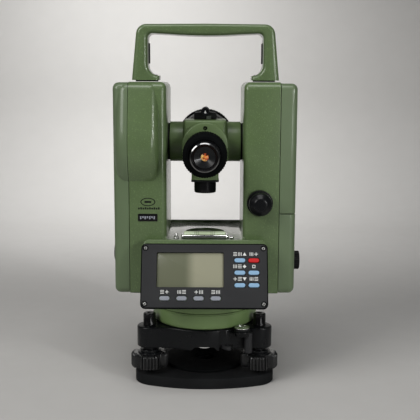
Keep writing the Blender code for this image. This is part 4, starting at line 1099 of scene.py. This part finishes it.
def make_label():
    """A black plate with blank dashes, and a generic oval mark with a dashed line under it."""
    face, proud, digit_proud = -STANDARD_Y, 0.08, 0.56

    def bar(x, z, w, h, out):
        return prism(rect(x, z, x + w, z + h), face - out, face + 0.2, Y)

    plate = block((-57.6, face - 0.5, 148.4), (-40.8, face + 0.4, 154.9), 0.6, start=0.2, axis=Y,
                  levels=3)
    piece("blank_label", plate, "gloss_black", "alidade")
    digits = [bar(-55.9 + 1.95 * k, 150.3 + 0.9 * (k % 2), 1.25, 2.6 - 0.9 * (k % 2), digit_proud)
              for k in range(7)]
    piece("blank_label_marks", together(digits), "key_grey", "alidade")
    outer, inner = ([(-49.0 + a * math.cos(t), 165.2 + b * math.sin(t)) for t in around(40)]
                    for a, b in ((6.4, 3.6), (5.6, 2.9)))
    edges = (outer, face + 0.2), (outer, face - proud), (inner, face - proud), (inner, face + 0.2)
    marks = [skin([[(x, y, z) for x, z in ring] for ring, y in edges], loop=True)]
    marks.append(bar(-51.9, 164.4, 5.8, 1.6, proud))
    marks += [bar(-57.4 + 1.9 * k, 158.7, 1.3, 1.5 + 0.4 * (k % 2), proud) for k in range(10)]
    piece("oval_mark", together(marks), "rubber_black", "alidade")


# ---- drives

def make_drives():
    low, high = span("vertical_clamp_ring")
    spot = pivot("vertical_clamp_turn")
    r, depth = (high.x - low.x) / 2, high.y - low.y
    piece("vertical_drive_washer", cylinder(8.2, -0.25, 0.28, spot, FRONT, 64), "steel", "alidade")
    ring = [(4.4, 0.3), (r - 0.8, 0.3, 0.4), (r, 1.4, 0.3), (r, depth - 0.8, 0.5), (4.4, depth, 0.3)]
    rim = lathe(ring, base=spot, direction=FRONT, ribs=(44, 0.35, r - 0.3))
    piece("vertical_clamp_rim", rim, "plastic_black", "vertical_clamp", "vertical_clamp_ring")
    low, high = span("vertical_tangent_knob")
    r, reach = (high.x - low.x) / 2, spot.y - low.y
    knob = [(0, -5.5), (4.0, -5.5), (4.0, depth + 0.3), (r - 0.3, depth + 0.3, 0.3),
            (r, depth + 1.2, 0.5), (r, reach - 4.2, 3.2), (r - 4.4, reach, 3.0), (0, reach)]
    piece("vertical_tangent_cap", lathe(knob, 96, spot, FRONT, steps=8), "enamel_black",
          "vertical_tangent", "vertical_tangent_knob")
    spot = pivot("horizontal_clamp_turn")
    low, high = span("horizontal_clamp_ring")
    r, depth = (high.x - low.x) / 2, high.y - low.y
    ring = [(3.4, 0), (r, 0, 0.4), (r, depth, 0.5), (3.4, depth, 0.3)]
    rim = lathe(ring, base=spot, direction=Y, ribs=(36, 0.35, r - 0.3))
    piece("horizontal_clamp_rim", rim, "plastic_black", "horizontal_clamp", "horizontal_clamp_ring")
    low, high = span("horizontal_tangent_knob")
    r, reach = (high.x - low.x) / 2, high.y - spot.y
    knob = [(0, -8), (3.0, -8), (3.0, depth + GAP), (r, depth + GAP, 0.3), (r, reach - 2.5, 2.0),
            (r - 3.2, reach, 2.2), (0, reach)]
    cap = lathe(knob, 64, spot, Y, ribs=(24, 0.3, r - 0.3))
    piece("horizontal_tangent_cap", cap, "gloss_black", "horizontal_tangent", "horizontal_tangent_knob")
    boss = [(0, -16.0), (8.0, -16.0), (8.0, -GAP, 0.6), (0, -GAP)]
    piece("horizontal_drive_boss", lathe(boss, 64, spot, Y), "green_smooth", "alidade",
          cuts=[cylinder(3.4, -12, 1, spot, Y)])
    spot = pivot("plummet_focus_turn")
    tube = [(3.5, -12.0), (6.0, -12.0), (6.0, -0.1, 0.4), (3.5, -0.1)]
    piece("plummet_barrel", lathe(tube, 64, spot, Y), "enamel_black", "alidade")
    low, high = span("plummet_eyepiece")
    r, reach = (high.x - low.x) / 2, high.y - spot.y
    cup = [(2.5, GAP), (r, GAP, 0.3), (r, 6.0, 0.4), (r - 1.2, reach, 0.5), (3.6, reach, 0.3),
           (2.5, reach - 2.5)]
    ring = lathe(cup, 64, spot, Y, ribs=(30, 0.3, r - 0.2))
    piece("plummet_eye_ring", ring, "plastic_black", "plummet_focus", "plummet_eyepiece")
    lens = [(0, reach - 4.5), (2.9, reach - 4.5), (2.9, reach - 3.2), (0, reach - 2.6)]
    piece("plummet_eye_lens", lathe(lens, 32, spot, Y), "lens_dark", "plummet_focus")


# ---- telescope

def make_telescope():
    body = "telescope"
    low, high = span("telescope_block")
    t, half, foot = TRUNNION, 18.9, 198.0
    bore_r, bore_at = 9.0, (0, 0, EYE.z + 2)
    shape = block((-half, -21.0, foot - 2), (half, high.y, high.z), 3.0, 3.0, (2.0, 2.0, 2.5, 2.5))
    piece("telescope_body", shape, "green_smooth", body, "telescope_block",
          cuts=[cylinder(bore_r, -40, 40, bore_at, Y)])
    r, screw_at = 20.3, (0, 0, t.z + 13.1)
    arch = filleted([(-r, foot, 3.0), (r, foot, 3.0)] + arc(0, t.z - 2.3, r, 0, 180, 40), 5)
    piece("eyepiece_arch", prism(arch, low.y, -19.5, Y), "green_smooth", body, edge=1.2,
          cuts=[cylinder(bore_r, -40, 0, bore_at, Y), cylinder(1.95, 23.0, 30.0, screw_at, FRONT, 24)])
    screw = [(0, 21.0), (1.8, 21.0), (1.8, 23.2, 0.3), (0.9, 23.2), (0.9, 22.2), (0, 22.2)]
    piece("arch_set_screw", lathe(screw, 24, screw_at, FRONT), "plastic_black", body)
    cap_low, cap_high = span("module_cap")
    spot = middle("module_cap")
    neck_half = 12.0
    neck = block((-neck_half, spot.y - neck_half, cap_high.z + GAP),
                 (neck_half, spot.y + neck_half, foot), 2.5)
    piece("module_neck", neck, "green_smooth", body)
    flange = block((cap_low.x, cap_low.y, cap_high.z - 1.6), cap_high, 2.5, 0.3, 0.3, levels=3)
    piece("module_flange", flange, "plastic_black", body, "module_cap")
    r, barrel_top = 9.9, cap_high.z - 1.5
    barrel = [(0, cap_low.z), (r - 0.2, cap_low.z, 1.0), (r, cap_low.z + 3.0, 0.4), (r, barrel_top),
              (0, barrel_top)]
    piece("module_barrel", lathe(barrel, 72, (0, spot.y, 0)), "gloss_black", body)
    for name, side in SIDES:
        shaft, reach = f"{name}_trunnion_shaft", max(abs(v.x) for v in span(f"{name}_trunnion_shaft"))
        r, tube_r, root, face = 11.0, 17.8, 14.4, 31.5
        tube = [(0, root), (r, root), (r, half), (tube_r - 0.8, half), (tube_r, half + 0.8, 0.4),
                (tube_r, face, 0.6), (r, face), (r, reach), (0, reach)]
        piece(f"{name}_trunnion_tube", lathe(tube, 80, t, (side, 0, 0)), "green_smooth", body, shaft)
    keep("vertical_circle", "glass_clear")
    keep("horizontal_circle", "glass_clear")
    low, high = span("objective_tube")
    tube = [(16.5, low.y), (19.0, low.y, 0.3), (19.0, 26.0, 4.0), (24.2, 44.0, 8.0), (25.2, high.y),
            (22.7, high.y), (21.5, 44.0), (16.5, 27.0)]
    piece("objective_cone", lathe(tube, 96, t, Y), "enamel_black", body, "objective_tube")
    low, high = span("objective_hood")
    r = high.x - 0.9
    hood = [(24.5, low.y), (r - 0.6, low.y, 0.4), (r, low.y + 1.4, 0.4), (r, high.y - 2.0),
            (r - 0.5, high.y, 0.5), (25.6, high.y, 0.4), (24.6, high.y - 4.5)]
    ring = lathe(hood, ribs=(60, 0.25, r - 0.25), base=t, direction=Y)
    piece("objective_ring", ring, "enamel_black", body, "objective_hood")
    r, rise, rim = 24.2, 3.0, 65.5
    lens = [(0, 61.6), (r, 62.6), (r, rim), *dome(r, rim, rise, 8), (0, rim + rise)]
    piece("objective_glass", lathe(lens, 72, t, Y), "lens_coated", body, "objective_lens")
    piece("objective_stop", lathe(rect(16.5, 60.0, 24.0, 61.4), 72, t, Y), "rubber_black", body)
    make_sight()
    make_eyepiece()


def make_sight():
    low, high = span("sight")
    r = 3.8
    z = high.z - r
    tube = [(2.7, low.y), (r, low.y, 0.3), (r, high.y, 0.3), (2.7, high.y)]
    piece("sight_tube", lathe(tube, 48, (0, 0, z), Y), "plastic_black", "telescope", "sight")
    glass = cylinder(2.75, low.y + 2.0, low.y + 2.8, (0, 0, z), Y, 32)
    piece("sight_glass", glass, "lens_dark", "telescope")
    mark = prism([(-1.1, z - 1.3), (1.1, z - 1.3), (0, z + 1.3)], low.y + 1.7, low.y + 1.95, Y)
    piece("sight_triangle", mark, "ink_white", "telescope")
    top = z - 0.6
    right = [(10.0, low.z), (10.0, top - 1.4), (8.8, top - 0.3), (3.2, top)]
    outline = [(-10.0, low.z), *right] + [(-x, h) for x, h in right[:0:-1]]
    seat = cylinder(r + 0.05, -30, 30, (0, 0, z), Y)
    piece("sight_bracket", prism(outline, -6, 8, Y), "plastic_black", "telescope", edge=0.5, cuts=[seat])
    stalk = block((0.8, -7.4, low.z), (5.2, -5.6, z - 3.9), 0.5, 0.2, levels=2)
    piece("sight_stalk", stalk, "alloy", "telescope")


def make_eyepiece():
    eye = Vector((0, 0, EYE.z))
    low, high = span("eyepiece_tube")
    bore = 8.0
    tube = [(bore, 25.3), (13.0, 25.3), (13.0, 58.0, 0.3), (10.0, 58.0), (10.0, -low.y, 0.3),
            (bore, -low.y)]
    piece("eyepiece_barrel", lathe(tube, 72, eye, FRONT), "enamel_black", "telescope", "eyepiece_tube")
    flange = [(bore, 24.9), (16.5, 24.9), (16.5, 28.0, 0.5), (bore, 28.0)]
    piece("eyepiece_flange", lathe(flange, 72, eye, FRONT), "enamel_black", "telescope")
    low, high = span("focusing_ring")
    front, rear, r = -low.y, -high.y, high.x
    ring = [(13.4, rear), (r - 1.0, rear, 0.5), (r, rear + 1.2, 0.4), (r, front - 4.0, 0.6),
            (r - 0.7, front - 3.2), (r - 0.9, front - 1.2, 0.8), (r - 3.0, front, 1.5),
            (13.4, front, 0.5)]
    grip = lathe(ring, base=eye, direction=FRONT, ribs=(52, 0.45, r - 0.3))
    piece("focusing_grip", grip, "matt_black", "focusing", "focusing_ring")
    low, high = span("eyepiece_ring")
    front, rear, r = -low.y, -high.y, high.x
    profile = [(10.3, rear), (11.0, rear, 0.3), (11.3, front - 4.5, 0.5), (r, front - 3.0, 0.4),
               (r, front - 0.8, 0.3), (11.0, front - 0.8), (11.0, front - 0.4, 0.2),
               (9.1, front - 3.0, 0.3), (9.1, 68.5), (10.3, 68.5)]
    cup = lathe(profile, base=eye, direction=FRONT, ribs=(60, 0.2, r - 0.2))
    piece("eyepiece_cup", cup, "gloss_black", "dioptre", "eyepiece_ring")
    trim = [(r - 1.05, front - 1.2), (r - 0.15, front - 1.2), (r - 0.15, front - 0.6), (r - 1.05, front)]
    piece("eyepiece_trim", lathe(trim, 96, eye, FRONT), "dark_chrome", "dioptre")
    funnel = [(3.3, 69.9), (8.9, 72.4), (8.9, 69.0), (3.3, 69.0)]
    piece("eyepiece_funnel", lathe(funnel, 72, eye, FRONT), "enamel_black", "eyepiece_cell")
    r, rise, rim = 3.2, 0.8, 69.5
    lens = [(0, 69.0), (8.7, 69.0), (8.7, 69.4), (r, rim), *dome(r, rim, rise, 6), (0, rim + rise)]
    # The eye lens's amber patches are a painted glint.
    piece("eyepiece_glass", lathe(lens, 48, eye, FRONT), "lens_amber_glint", "eyepiece_cell", "eyepiece_lens")


def main():
    for make in (make_camera, make_studio, make_base_plate, make_foot_screws, make_tribrach,
                 make_lock_lever, make_drum, make_frame, make_covers, make_battery,
                 make_plate_level, make_handle):
        make()
    keys = [n for n in frame["nodes"] if n.startswith(("display_key", "key_"))]
    make_display("front", -1, sorted(keys))
    make_display("rear", 1, [])
    make_label()
    make_drives()
    make_telescope()


main()
